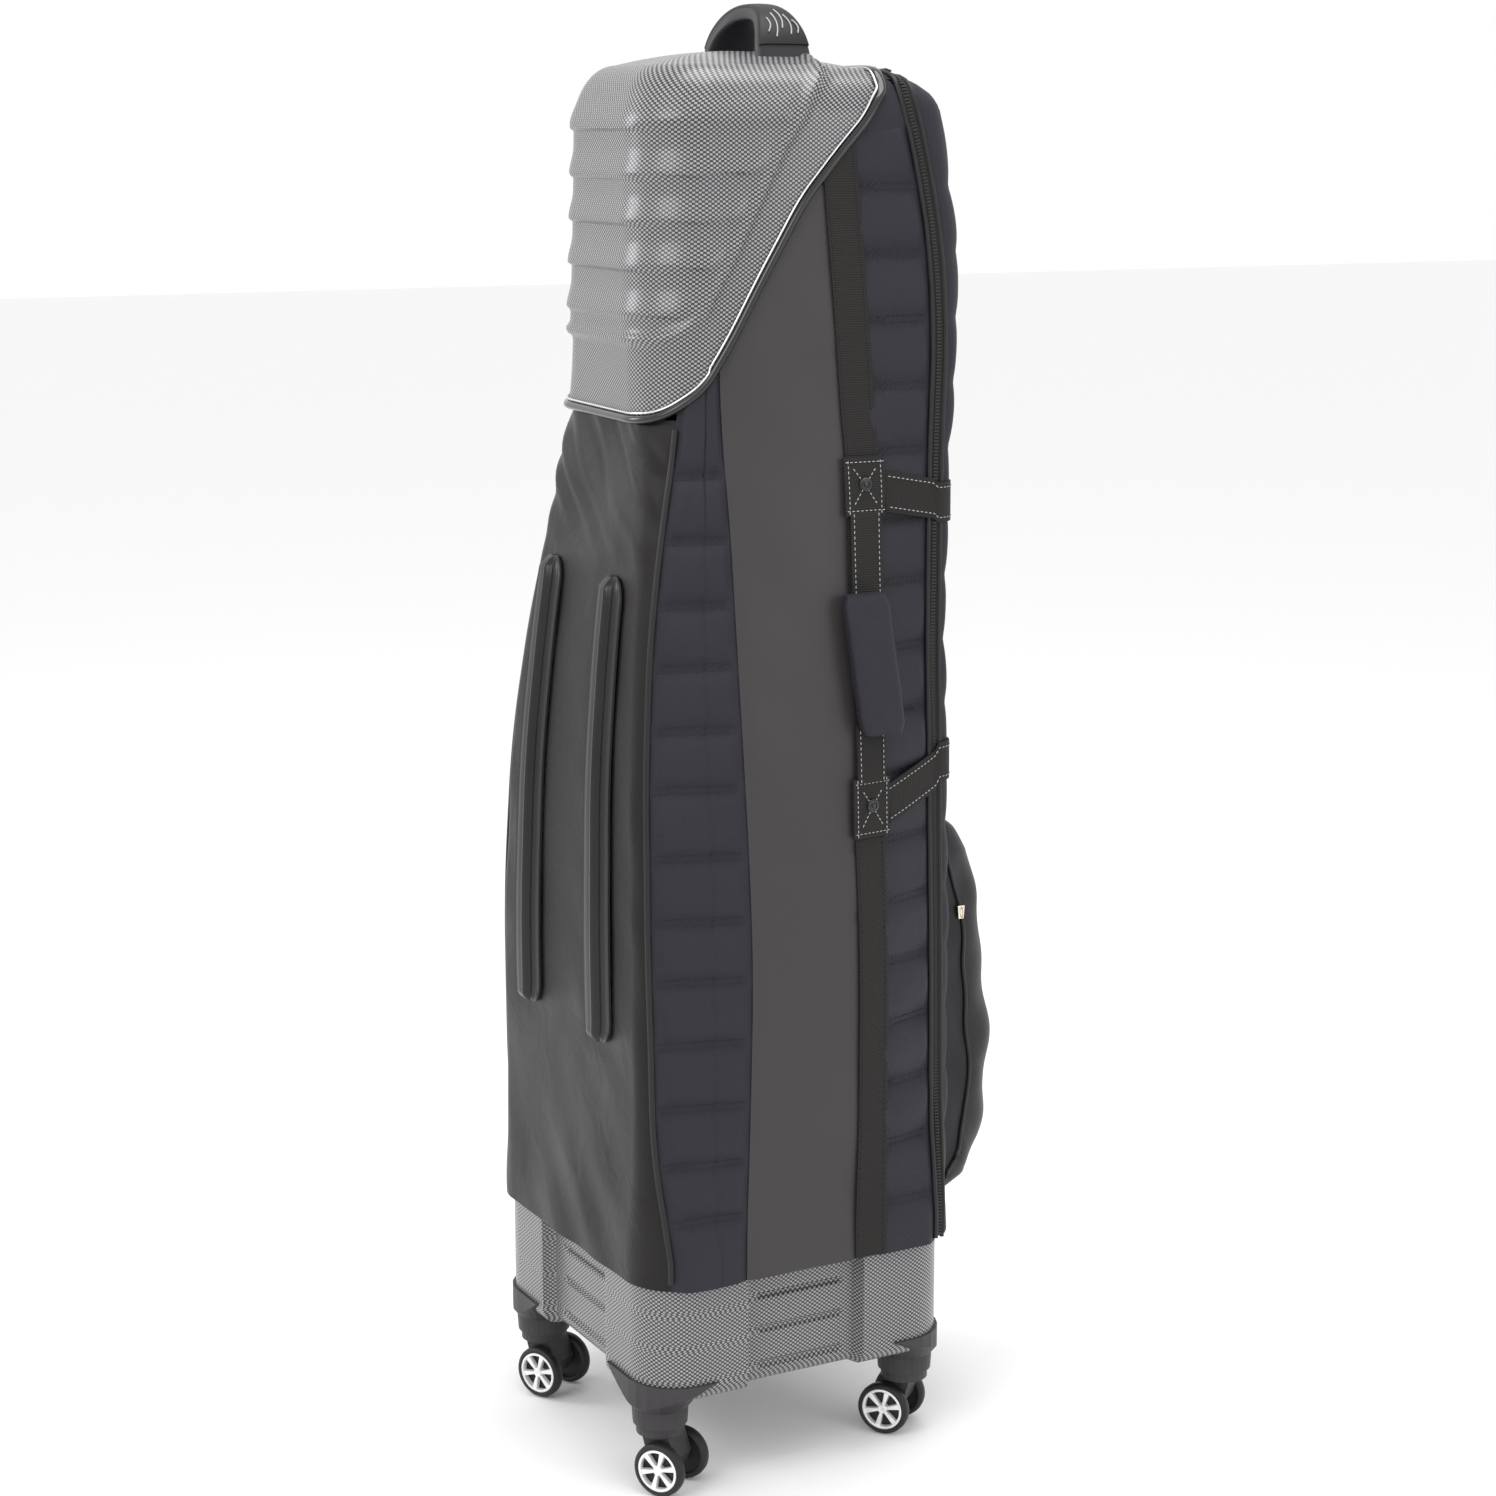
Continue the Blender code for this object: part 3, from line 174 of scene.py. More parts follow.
def from_faces(name: str, verts: Sequence, faces: Sequence[tuple]) -> bpy.types.Object:
    """A closed piece from computed points, its faces turned outwards."""
    mesh = bpy.data.meshes.new(name)
    mesh.from_pydata([tuple(v) for v in verts], [], faces)
    piece = bpy.data.objects.new(name, mesh)
    bpy.context.scene.collection.objects.link(piece)
    outward(piece)
    return piece


def joined(name: str, pieces: Sequence[bpy.types.Object]) -> bpy.types.Object:
    """Join several mesh objects into one piece.

    Args:
        name: The joined piece's name.
        pieces: What is joined.

    Returns:
        The joined piece, at the origin.
    """
    for piece in pieces:
        settle_in_mesh(piece)
    deselect()
    for piece in pieces:
        piece.select_set(True)
    bpy.context.view_layer.objects.active = pieces[0]
    if len(pieces) > 1:
        bpy.ops.object.join()
    result = bpy.context.view_layer.objects.active
    result.name = name
    result.data.name = name
    return result


def grid_piece(name: str, points: Array, uv: Array | None = None,
               keep: Array | None = None, closed: bool = False) -> bpy.types.Object:
    """A sheet shaped from a grid primitive.

    Args:
        name: The piece's name.
        points: Positions, as rows by columns by three.
        uv: Surface coordinates in metres, as rows by columns by two.
        keep: Which points stay, as rows by columns.
        closed: Whether the last column meets the first.

    Returns:
        The sheet, with its faces the way that the columns and rows turn.
    """
    rows, columns = points.shape[:2]
    deselect()
    bpy.ops.mesh.primitive_grid_add(x_subdivisions=columns - 1, y_subdivisions=rows - 1, size=2.0)
    piece = bpy.context.active_object
    piece.name = piece.data.name = name
    mesh = piece.data
    flat = np.empty(len(mesh.vertices) * 3)
    mesh.vertices.foreach_get("co", flat)
    flat = flat.reshape(-1, 3)
    column = np.rint((flat[:, 0] + 1.0) / 2.0 * (columns - 1)).astype(int)
    row = np.rint((flat[:, 1] + 1.0) / 2.0 * (rows - 1)).astype(int)
    mesh.vertices.foreach_set("co", points[row, column].reshape(-1))
    if uv is not None:
        corner = np.empty(len(mesh.loops), dtype=int)
        mesh.loops.foreach_get("vertex_index", corner)
        mesh.uv_layers[0].data.foreach_set("uv", uv[row, column][corner].reshape(-1))
    if keep is not None:
        dropped = np.flatnonzero(~keep[row, column])
        with edited(piece) as loose:
            loose.verts.ensure_lookup_table()
            bmesh.ops.delete(loose, geom=[loose.verts[k] for k in dropped], context="VERTS")
    if closed or keep is not None:
        with edited(piece) as loose:
            bmesh.ops.remove_doubles(loose, verts=loose.verts, dist=MERGE)
    mesh.update()
    return piece


def tube(name: str, path: Sequence[Vector], radius: float, sides: int = 8,
         squash: float = 1.0, up: Vector | None = None) -> bpy.types.Object:
    """A round or flattened tube along a path, with closed ends.

    Args:
        name: The piece's name.
        path: Points along the middle.
        radius: Half its width.
        sides: Sides round it.
        squash: Its height as a share of its width.
        up: The direction of its height; the path's own normal if left out.

    Returns:
        The tube.
    """
    points = [Vector(p) for p in path]
    rings = []
    side = Vector((0, 0, 0))
    for k, point in enumerate(points):
        run = (points[min(k + 1, len(points) - 1)] - points[max(k - 1, 0)]).normalized()
        lift = up or (Vector((0, 0, 1)) if abs(run.z) < 0.9 else Vector((1, 0, 0)))
        fresh = run.cross(lift).normalized()
        side = fresh if side.length == 0 or fresh.dot(side) > 0 or up else -fresh
        high = side.cross(run).normalized()
        rings.append([point + radius * (math.cos(a) * side + squash * math.sin(a) * high)
                      for a in np.linspace(0, 2 * math.pi, sides, endpoint=False)])
    faces = [(r * sides + k, r * sides + (k + 1) % sides, (r + 1) * sides + (k + 1) % sides,
              (r + 1) * sides + k) for r in range(len(rings) - 1) for k in range(sides)]
    faces += [tuple(range(sides)), tuple((len(rings) - 1) * sides + k for k in range(sides))]
    piece = from_faces(name, [p for ring in rings for p in ring], faces)
    smooth(piece, FABRIC_ANGLE)
    return piece


def ripple(points: Array, seed: int, length: float, waves: int = 7) -> Array:
    """Smooth, repeatable unevenness over a surface, between about -1 and 1.

    Args:
        points: Positions, with three in the last axis.
        seed: Which unevenness.
        length: The size of one wave, in metres.
        waves: How many waves are added up.

    Returns:
        One value for each point.
    """
    dice = np.random.default_rng(seed)
    total = np.zeros(points.shape[:-1])
    for _ in range(waves):
        way = dice.normal(size=3)
        way *= dice.uniform(0.6, 1.5) / np.linalg.norm(way) * 2 * math.pi / length
        total += np.sin(points @ way + dice.uniform(0, 6.28))
    return total / math.sqrt(waves) * 0.8


def ease(value: Array | float) -> Array:
    """A smooth step from 0 to 1."""
    value = np.clip(value, 0.0, 1.0)
    return value * value * (3.0 - 2.0 * value)


# ---------------------------------------------------------------- the form under the cloth

@dataclass(frozen=True)
class CaseForm:
    """The case's outer form, which cloth, hood and straps follow."""

    hem: float = 0.200
    shoulder: float = 1.212
    round_height: float = 0.050
    round_side: float = 0.029
    round_back: float = 0.029
    round_front: float = 0.075
    crown: float = 0.012
    turn_start: float = 0.42
    turn_end: float = 1.00
    turn_degrees: float = -6.0
    place: Vector = Vector((-0.008, -0.032, 0.0))
    stations: tuple = (
        (0.200, 0.1715, 0.000, -0.1625, 0.1625, 0.050, 0.045),
        (0.235, 0.1715, 0.000, -0.1625, 0.1625, 0.050, 0.045),
        (0.320, 0.1550, 0.025, -0.1590, 0.1600, 0.022, 0.020),
        (0.500, 0.1520, 0.032, -0.1600, 0.1600, 0.020, 0.020),
        (0.650, 0.1500, 0.029, -0.1530, 0.1600, 0.020, 0.020),
        (0.780, 0.1420, 0.020, -0.1380, 0.1630, 0.022, 0.020),
        (0.900, 0.1310, 0.013, -0.1190, 0.1710, 0.035, 0.022),
        (0.960, 0.1240, 0.010, -0.1130, 0.1800, 0.056, 0.024),
        (1.100, 0.1180, 0.007, -0.1095, 0.1895, 0.058, 0.025),
        (1.212, 0.1150, 0.005, -0.1070, 0.1710, 0.056, 0.025),
    )
    tarp_rear: tuple = ((0.20, -0.066), (0.65, -0.060), (0.87, -0.050), (1.10, -0.050))
    webbing_line: tuple = ((0.20, 0.062), (0.60, 0.058), (0.92, 0.077), (1.05, 0.071),
                           (1.25, 0.057))
    zip_line: tuple = ((0.20, 0.1355), (0.60, 0.133), (0.75, 0.136), (0.90, 0.146),
                       (1.02, 0.154), (1.10, 0.151), (1.16, 0.142), (1.212, 0.130),
                       (1.245, 0.121), (1.32, 0.119))
    hood_edge: tuple = ((-0.30, 0.962), (-0.125, 0.962), (-0.096, 0.968), (-0.066, 0.991),
                        (-0.041, 1.030), (-0.012, 1.083), (0.028, 1.151), (0.062, 1.191),
                        (0.091, 1.222), (0.105, 1.247), (0.108, 1.275), (0.108, 1.340))
    seam_share: float = 0.14

    def sizes(self, height: Array | float) -> Array:
        """Half width, swell, back, front, back and front corner radii at heights.

        Args:
            height: Heights, in metres.

        Returns:
            Six rows, one for each size.
        """
        height = np.asarray(height, dtype=float)
        table = np.array(self.stations)
        reach = 0.045 * ease((height - 0.205) / 0.06)
        total = np.zeros((6,) + height.shape)
        shares = np.linspace(-1.0, 1.0, 9)
        for share in shares:
            where = np.clip(height + share * reach, 0.200, self.shoulder)
            total += np.array([np.interp(where, table[:, 0], table[:, k]) for k in range(1, 7)])
        return total / len(shares)

    @staticmethod
    def follow(line: tuple, height: Array | float) -> Array:
        """Read a seam line smoothly at heights."""
        table = np.array(line)
        total = [np.interp(np.asarray(height) + move, table[:, 0], table[:, 1])
                 for move in np.linspace(-0.03, 0.03, 7)]
        return np.mean(total, axis=0)

    def tarp_seam(self, height: Array | float) -> Array:
        """The depth of the stripe's rear seam at heights."""
        return self.follow(self.tarp_rear, height)

    def webbing_middle(self, height: Array | float) -> Array:
        """The depth of the side webbing's middle at heights."""
        return self.follow(self.webbing_line, height)

    def zip_rear(self, height: Array | float) -> Array:
        """The depth of the zip's rear edge at heights."""
        return self.follow(self.zip_line, height)

    def hood_height(self, y: Array | float) -> Array:
        """The height of the hood's lower edge at a depth; far above the case past its end."""
        table = np.array(self.hood_edge)
        depth = np.asarray(y, dtype=float)
        total = [np.interp(depth + move, table[:10, 0], table[:10, 1])
                 for move in np.linspace(-0.008, 0.008, 5)]
        return np.where(depth > 0.1065, 2.0, np.mean(total, axis=0))

    def side_x(self, y: Array | float, height: Array | float) -> Array:
        """How far out the side stands at a depth and a height."""
        half, swell, back, front, rear_r, front_r = self.sizes(height)
        y = np.asarray(y, dtype=float)
        low, high = back + rear_r, front - front_r
        t = (2 * y - low - high) / (high - low)
        flat = half + swell * (1 - t * t)
        rear = half - rear_r + np.sqrt(np.maximum(
            rear_r ** 2 - np.minimum(low - y, rear_r) ** 2, 0))
        fore = half - front_r + np.sqrt(np.maximum(
            front_r ** 2 - np.minimum(y - high, front_r) ** 2, 0))
        return np.where(y < low, rear, np.where(y > high, fore, flat))

    def turn(self, points: Array) -> Array:
        """Carry points of the straight form to the standing case."""
        points = np.asarray(points, dtype=float)
        share = ease((points[..., 2] - self.turn_start) / (self.turn_end - self.turn_start))
        angle = math.radians(self.turn_degrees) * share
        x = points[..., 0] * np.cos(angle) - points[..., 1] * np.sin(angle)
        y = points[..., 0] * np.sin(angle) + points[..., 1] * np.cos(angle)
        return np.stack([x, y, points[..., 2]], axis=-1) + np.array(self.place)

    def turn_matrix(self, point: Sequence[float]) -> Matrix:
        """The placement of a rigid piece that stands at a point of the straight form."""
        share = float(ease((point[2] - self.turn_start) / (self.turn_end - self.turn_start)))
        turn = Matrix.Rotation(math.radians(self.turn_degrees) * share, 4, "Z")
        return Matrix.Translation(self.place) @ turn @ Matrix.Translation(Vector(point))

    def half_ring(self, sizes: Array, counts: tuple) -> Array:
        """Points of the right half of level sections, from the back's middle to the front's.

        Args:
            sizes: Six sizes for each row.
            counts: Steps on the back, rear corner, side, front corner and front.

        Returns:
            Rows by columns by two.
        """
        half, swell, back, front, rear_r, front_r = [s[:, None] for s in sizes]
        steps = [np.linspace(0, 1, n, endpoint=False)[None, :] for n in counts]
        parts = [(steps[0] * (half - rear_r), back + 0 * steps[0])]
        a = -math.pi / 2 + steps[1] * math.pi / 2
        parts.append((half - rear_r + rear_r * np.cos(a), back + rear_r + rear_r * np.sin(a)))
        t = steps[2]
        low, high = back + rear_r, front - front_r
        parts.append((half + swell * (1 - (2 * t - 1) ** 2), low + (high - low) * t))
        a = steps[3] * math.pi / 2
        parts.append((half - front_r + front_r * np.cos(a), front - front_r + front_r * np.sin(a)))
        last = np.append(steps[4], 1.0)[None, :]
        parts.append(((1 - last) * (half - front_r), front + 0 * last))
        x = np.concatenate([p[0] for p in parts], axis=1)
        y = np.concatenate([p[1] for p in parts], axis=1)
        return np.stack([x, y], axis=-1)

    def half_skin(self, low: float, step: float, counts: tuple, rings: int = 16,
                  caps: int = 22) -> Array:
        """The right half of the whole form as a grid, from a height up to the crown.

        Args:
            low: The lowest row's height.
            step: The distance between rows on the sides.
            counts: Steps round a half section.
            rings: Rows over the shoulder.
            caps: Rows from the shoulder's end to the crown.

        Returns:
            Rows by columns by three.
        """
        heights = np.linspace(low, self.shoulder, max(int((self.shoulder - low) / step), 2))
        sizes = self.sizes(heights)
        walls = self.half_ring(sizes, counts)
        z = np.repeat(heights[:, None], walls.shape[1], axis=1)
        rows = [np.dstack([walls, z])]
        top = sizes[:, -1]
        a = np.linspace(0, math.pi / 2, rings + 1)[1:]
        inset = 1 - np.cos(a)
        dome = np.array([top[0] - self.round_side * inset, top[1] * np.cos(a),
                         top[2] + self.round_back * inset, top[3] - self.round_front * inset,
                         top[4] - 0.5 * self.round_back * inset, top[5] + 0 * inset])
        flat = self.half_ring(dome, counts)
        z = np.repeat((self.shoulder + self.round_height * np.sin(a))[:, None], flat.shape[1], 1)
        rows.append(np.dstack([flat, z]))
        edge = flat[-1]
        middle = np.array([0.0, (edge[:, 1].min() + edge[:, 1].max()) / 2])
        share = np.linspace(1, 0, caps + 1)[1:, None, None]
        cap = middle + (edge[None] - middle) * share
        z = self.shoulder + self.round_height + self.crown * (1 - share[:, :, 0] ** 2)
        rows.append(np.dstack([cap, np.repeat(z, cap.shape[1], axis=1)]))
        return np.concatenate(rows, axis=0)

    def skin(self, low: float, step: float, counts: tuple, centred_on_back: bool) -> Array:
        """The whole form as a grid, its columns anticlockwise, centred on the back or the front."""
        right = self.half_skin(low, step, counts)
        left = right[:, ::-1] * MIRROR
        if centred_on_back:
            return np.concatenate([left, right[:, 1:]], axis=1)
        return np.concatenate([right, left[:, 1:]], axis=1)


def surface_normals(points: Array) -> Array:
    """Outward normals of a grid whose columns run anticlockwise and rows upwards."""
    across = np.gradient(points, axis=1)
    along = np.gradient(points, axis=0)
    normal = np.cross(across, along)
    length = np.linalg.norm(normal, axis=-1, keepdims=True)
    return normal / np.maximum(length, 1e-9)


def surface_uv(points: Array) -> Array:
    """Coordinates in metres along a grid's columns and rows."""
    across = np.linalg.norm(np.diff(points, axis=1), axis=-1)
    u = np.concatenate([np.zeros((points.shape[0], 1)), np.cumsum(across, axis=1)], axis=1)
    u -= u[:, [points.shape[1] // 2]]
    along = np.linalg.norm(np.diff(points, axis=0), axis=-1)
    v = np.concatenate([np.zeros((1, points.shape[1])), np.cumsum(along, axis=0)], axis=0)
    v = np.repeat(v[:, [points.shape[1] // 2]], points.shape[1], axis=1)
    return np.stack([u, v], axis=-1)


# ---------------------------------------------------------------- finishes

class Sheet:
    """One node tree, with short ways to add and join its nodes."""

    def __init__(self, tree: bpy.types.NodeTree) -> None:
        """Start on a tree."""
        self.tree = tree

    def add(self, kind: str, *inputs: object, **settings: object) -> bpy.types.Node:
        """Add a node.

        Args:
            kind: The node's type, after ShaderNode.
            *inputs: Values or sockets for its inputs in order; None leaves one as it is.
            **settings: The node's own settings.

        Returns:
            The new node.
        """
        node = self.tree.nodes.new(f"ShaderNode{kind}")
        for name, value in settings.items():
            setattr(node, name, value)
        for socket, value in zip(node.inputs, inputs):
            self.feed(socket, value)
        return node

    def feed(self, socket: bpy.types.NodeSocket, value: object) -> None:
        """Give an input a value or a link."""
        if isinstance(value, bpy.types.NodeSocket):
            self.tree.links.new(value, socket)
        elif value is not None:
            socket.default_value = value

    def math(self, operation: str, *inputs: object) -> bpy.types.NodeSocket:
        """Add a Math node and return its result."""
        return self.add("Math", *inputs, operation=operation).outputs[0]

    def mix(self, factor: object, first: object, second: object) -> bpy.types.NodeSocket:
        """Mix two colours and return the result."""
        node = self.add("Mix", data_type="RGBA")
        self.feed(node.inputs["Factor"], factor)
        self.feed(node.inputs[6], first)
        self.feed(node.inputs[7], second)
        return node.outputs[2]

    def noise(self, place: object, scale: object, detail: float) -> bpy.types.Node:
        """Add a noise texture at a place."""
        node = self.add("TexNoise", place)
        self.feed(node.inputs["Scale"], scale)
        node.inputs["Detail"].default_value = detail
        return node

    def group(self, tree: bpy.types.NodeTree, **values: object) -> bpy.types.Node:
        """Place a shared group with its own values, named with _ for a space."""
        node = self.add("Group", node_tree=tree)
        for name, value in values.items():
            node.inputs[name.replace("_", " ")].default_value = value
        return node

    def bump(self, height: object, strength: float, distance: float,
             under: object = None) -> bpy.types.NodeSocket:
        """Add a bump, over another one if there is one, and return its normal."""
        node = self.add("Bump")
        node.inputs["Strength"].default_value = strength
        node.inputs["Distance"].default_value = distance
        self.feed(node.inputs["Height"], height)
        self.feed(node.inputs["Normal"], under)
        return node.outputs[0]

    def mottle(self, patches: object, spread: float, least: float) -> bpy.types.NodeSocket:
        """Roughness that rises from its least value with the wear's patches."""
        return self.math("MULTIPLY_ADD", patches, spread, least)


def new_group(name: str, inputs: Sequence[tuple], outputs: Sequence[tuple]) -> tuple:
    """Start a shader node group.

    Args:
        name: The group's name.
        inputs: Name, socket type and value of each input.
        outputs: Name and socket type of each output.

    Returns:
        The group's sheet, its input node and its output node.
    """
    tree = bpy.data.node_groups.new(name, "ShaderNodeTree")
    for label, kind, value in inputs:
        socket = tree.interface.new_socket(label, in_out="INPUT", socket_type=kind)
        socket.default_value = value
    for label, kind in outputs:
        tree.interface.new_socket(label, in_out="OUTPUT", socket_type=kind)
    sheet = Sheet(tree)
    return sheet, tree.nodes.new("NodeGroupInput"), tree.nodes.new("NodeGroupOutput")


FLOAT = "NodeSocketFloat"
COLOUR = "NodeSocketColor"


class Groups:
    """The node groups that several finishes share."""

    def __init__(self) -> None:
        """Build each group once."""
        self.weave = self.make_weave()
        self.print = self.make_print()
        self.wear = self.make_wear()

    @staticmethod
    def make_weave() -> bpy.types.NodeTree:
        """A basket weave over and under along the cloth's own coordinates."""
        sheet, inside, outside = new_group(
            "basket_weave", [("Pitch", FLOAT, 0.0011), ("Slubs", FLOAT, 0.3)],
            [("Height", FLOAT), ("Shade", FLOAT)])
        place = sheet.add("UVMap", uv_map="UVMap").outputs[0]
        parts = sheet.add("SeparateXYZ", place).outputs
        waves = []
        for part in (parts[0], parts[1]):
            phase = sheet.math("DIVIDE", sheet.math("MULTIPLY", part, math.pi), inside.outputs[0])
            waves.append(sheet.math("SINE", phase))
        cross = sheet.math("MULTIPLY", waves[0], waves[1])
        height = sheet.math("MULTIPLY_ADD", cross, 0.5, 0.5)
        slub = sheet.noise(place, 260.0, 2.0)
        rough = sheet.math("MULTIPLY", sheet.math("SUBTRACT", slub.outputs[0], 0.5),
                           inside.outputs[1])
        sheet.feed(outside.inputs[0], sheet.math("ADD", height, rough))
        shade = sheet.math("MULTIPLY_ADD", height, 0.6, 0.4)
        sheet.feed(outside.inputs[1], sheet.math("ADD", shade, rough))
        return sheet.tree

    @staticmethod
    def make_print() -> bpy.types.NodeTree:
        """A fine two-tone check, each cell a little rounded, along the surface."""
        sheet, inside, outside = new_group(
            "check_print", [("Cell", FLOAT, 0.0027), ("Light", COLOUR, (0.75, 0.75, 0.75, 1)),
                            ("Dark", COLOUR, (0.03, 0.03, 0.03, 1))],
            [("Color", COLOUR), ("Mask", FLOAT)])
        place = sheet.add("UVMap", uv_map="UVMap").outputs[0]
        parts = sheet.add("SeparateXYZ", place).outputs
        waves = []
        for part, stretch in ((parts[0], 1.15), (parts[1], 0.85)):
            cell = sheet.math("MULTIPLY", inside.outputs[0], stretch)
            phase = sheet.math("DIVIDE", sheet.math("MULTIPLY", part, math.pi), cell)
            waves.append(sheet.math("SINE", phase))
        cross = sheet.math("MULTIPLY", waves[0], waves[1])
        ramp = sheet.add("MapRange", cross, -0.05, 0.32, 0.0, 1.0, interpolation_type="SMOOTHSTEP")
        sheet.feed(outside.inputs[0], sheet.mix(ramp.outputs[0], inside.outputs[2],
                                                inside.outputs[1]))
        sheet.feed(outside.inputs[1], ramp.outputs[0])
        return sheet.tree

    @staticmethod
    def make_wear() -> bpy.types.NodeTree:
        """Broad patches and fine grain over a surface, and its rubbed edges."""
        sheet, inside, outside = new_group(
            "wear", [("Patch Scale", FLOAT, 14.0), ("Grain Scale", FLOAT, 900.0)],
            [("Patches", FLOAT), ("Grain", FLOAT), ("Edges", FLOAT)])
        place = sheet.add("TexCoord").outputs["Object"]
        for index, (socket, detail) in enumerate(((0, 3.0), (1, 2.0))):
            noise = sheet.noise(place, inside.outputs[socket], detail)
            sheet.feed(outside.inputs[index], noise.outputs[0])
        point = sheet.add("NewGeometry").outputs["Pointiness"]
        edge = sheet.add("MapRange", point, 0.52, 0.60, 0.0, 1.0)
        sheet.feed(outside.inputs[2], edge.outputs[0])
        return sheet.tree


@dataclass(frozen=True)
class Plastic:
    """A moulded plastic or rubber."""

    name: str
    colour: tuple
    roughness: float
    grain: float = 0.10
    edge: float = 0.35
    coat: float = 0.0
    metallic: float = 0.0

    def make(self, groups: Groups) -> bpy.types.Material:
        """Build the material."""
        material, sheet, shader = start_material(self.name)
        wear = sheet.group(groups.wear, Patch_Scale=16.0, Grain_Scale=1500.0)
        base = (*self.colour, 1.0)
        paler = tuple(min(1.0, c * 1.35 + 0.004) for c in self.colour) + (1.0,)
        mottled = sheet.mix(wear.outputs["Patches"], base, paler)
        rubbed = tuple(min(1.0, c * 2.0 + 0.02) for c in self.colour) + (1.0,)
        edge = sheet.math("MULTIPLY", wear.outputs["Edges"], self.edge)
        sheet.feed(shader.inputs["Base Color"], sheet.mix(edge, mottled, rubbed))
        sheet.feed(shader.inputs["Roughness"],
                   sheet.mottle(wear.outputs["Patches"], 0.16, self.roughness - 0.08))
        shader.inputs["Metallic"].default_value = self.metallic
        shader.inputs["Coat Weight"].default_value = self.coat
        shader.inputs["Specular IOR Level"].default_value = 0.35
        sheet.feed(shader.inputs["Normal"],
                   sheet.bump(wear.outputs["Grain"], self.grain, 0.0004))
        return material


@dataclass(frozen=True)
class Cloth:
    """A woven cloth, coated or not."""

    name: str
    dark: tuple
    light: tuple
    roughness: float
    pitch: float = 0.0012
    depth: float = 0.35
    sheen: float = 0.02
    creases: float = 0.0
    shine: float = 0.25

    def make(self, groups: Groups) -> bpy.types.Material:
        """Build the material."""
        material, sheet, shader = start_material(self.name)
        weave = sheet.group(groups.weave, Pitch=self.pitch)
        wear = sheet.group(groups.wear, Patch_Scale=9.0, Grain_Scale=500.0)
        woven = sheet.mix(weave.outputs["Shade"], (*self.dark, 1.0), (*self.light, 1.0))
        faded = tuple(c * 0.75 for c in self.light) + (1.0,)
        patch = sheet.math("MULTIPLY", wear.outputs["Patches"], 0.35)
        sheet.feed(shader.inputs["Base Color"], sheet.mix(patch, woven, faded))
        sheet.feed(shader.inputs["Roughness"],
                   sheet.mottle(wear.outputs["Patches"], 0.18, self.roughness - 0.09))
        shader.inputs["Sheen Weight"].default_value = self.sheen
        shader.inputs["Sheen Roughness"].default_value = 0.45
        shader.inputs["Specular IOR Level"].default_value = self.shine
        noise = sheet.noise(sheet.add("TexCoord").outputs["Object"], 24.0, 4.0)
        noise.inputs["Distortion"].default_value = 0.8
        broad = sheet.bump(noise.outputs[0], self.creases, 0.004)
        sheet.feed(shader.inputs["Normal"],
                   sheet.bump(weave.outputs["Height"], self.depth, 0.0005, broad))
        return material


@dataclass(frozen=True)
class Webbing:
    """Ribbed webbing; its ribs run across it."""

    name: str = "ribbed_webbing"
    dark: tuple = (0.0018, 0.0016, 0.0015)
    light: tuple = (0.020, 0.018, 0.0165)
    rib: float = 0.0021

    def make(self, groups: Groups) -> bpy.types.Material:
        """Build the material."""
        material, sheet, shader = start_material(self.name)
        weave = sheet.group(groups.weave, Pitch=self.rib / 2)
        parts = sheet.add("SeparateXYZ", sheet.add("UVMap", uv_map="UVMap").outputs[0]).outputs
        phase = sheet.math("MULTIPLY", parts[1], 2 * math.pi / self.rib)
        ribs = sheet.math("MULTIPLY_ADD", sheet.math("SINE", phase), 0.5, 0.5)
        height = sheet.math("MULTIPLY_ADD", weave.outputs["Height"], 0.35, ribs)
        shade = sheet.math("MULTIPLY", sheet.math("ADD", ribs, weave.outputs["Shade"]), 0.5)
        sheet.feed(shader.inputs["Base Color"],
                   sheet.mix(shade, (*self.dark, 1.0), (*self.light, 1.0)))
        shader.inputs["Roughness"].default_value = 0.7
        shader.inputs["Specular IOR Level"].default_value = 0.3
        sheet.feed(shader.inputs["Normal"], sheet.bump(height, 0.6, 0.0006))
        return material


@dataclass(frozen=True)
class PrintedShell:
    """A glossy moulded shell with a fine two-tone check under a clear coat."""

    name: str = "printed_shell"
    light: tuple = (0.34, 0.34, 0.35, 1.0)
    dark: tuple = (0.008, 0.008, 0.009, 1.0)
    cell: float = 0.0022

    def make(self, groups: Groups) -> bpy.types.Material:
        """Build the material."""
        material, sheet, shader = start_material(self.name)
        check = sheet.group(groups.print, Cell=self.cell, Light=self.light, Dark=self.dark)
        wear = sheet.group(groups.wear)
        dull = sheet.math("MULTIPLY", wear.outputs["Patches"], 0.22)
        sheet.feed(shader.inputs["Base Color"],
                   sheet.mix(dull, check.outputs["Color"], (0.16, 0.16, 0.165, 1.0)))
        sheet.feed(shader.inputs["Roughness"],
                   sheet.mottle(wear.outputs["Patches"], 0.15, 0.30))
        shader.inputs["Coat Weight"].default_value = 0.25
        shader.inputs["Coat Roughness"].default_value = 0.22
        sheet.feed(shader.inputs["Normal"], sheet.bump(check.outputs["Mask"], 0.25, 0.0003))
        return material


def start_material(name: str) -> tuple:
    """A new node material with its Principled shader.

    Args:
        name: The material's name.

    Returns:
        The material, its sheet and its shader node.
    """
    material = bpy.data.materials.new(name)
    material.use_nodes = True
    return material, Sheet(material.node_tree), material.node_tree.nodes["Principled BSDF"]


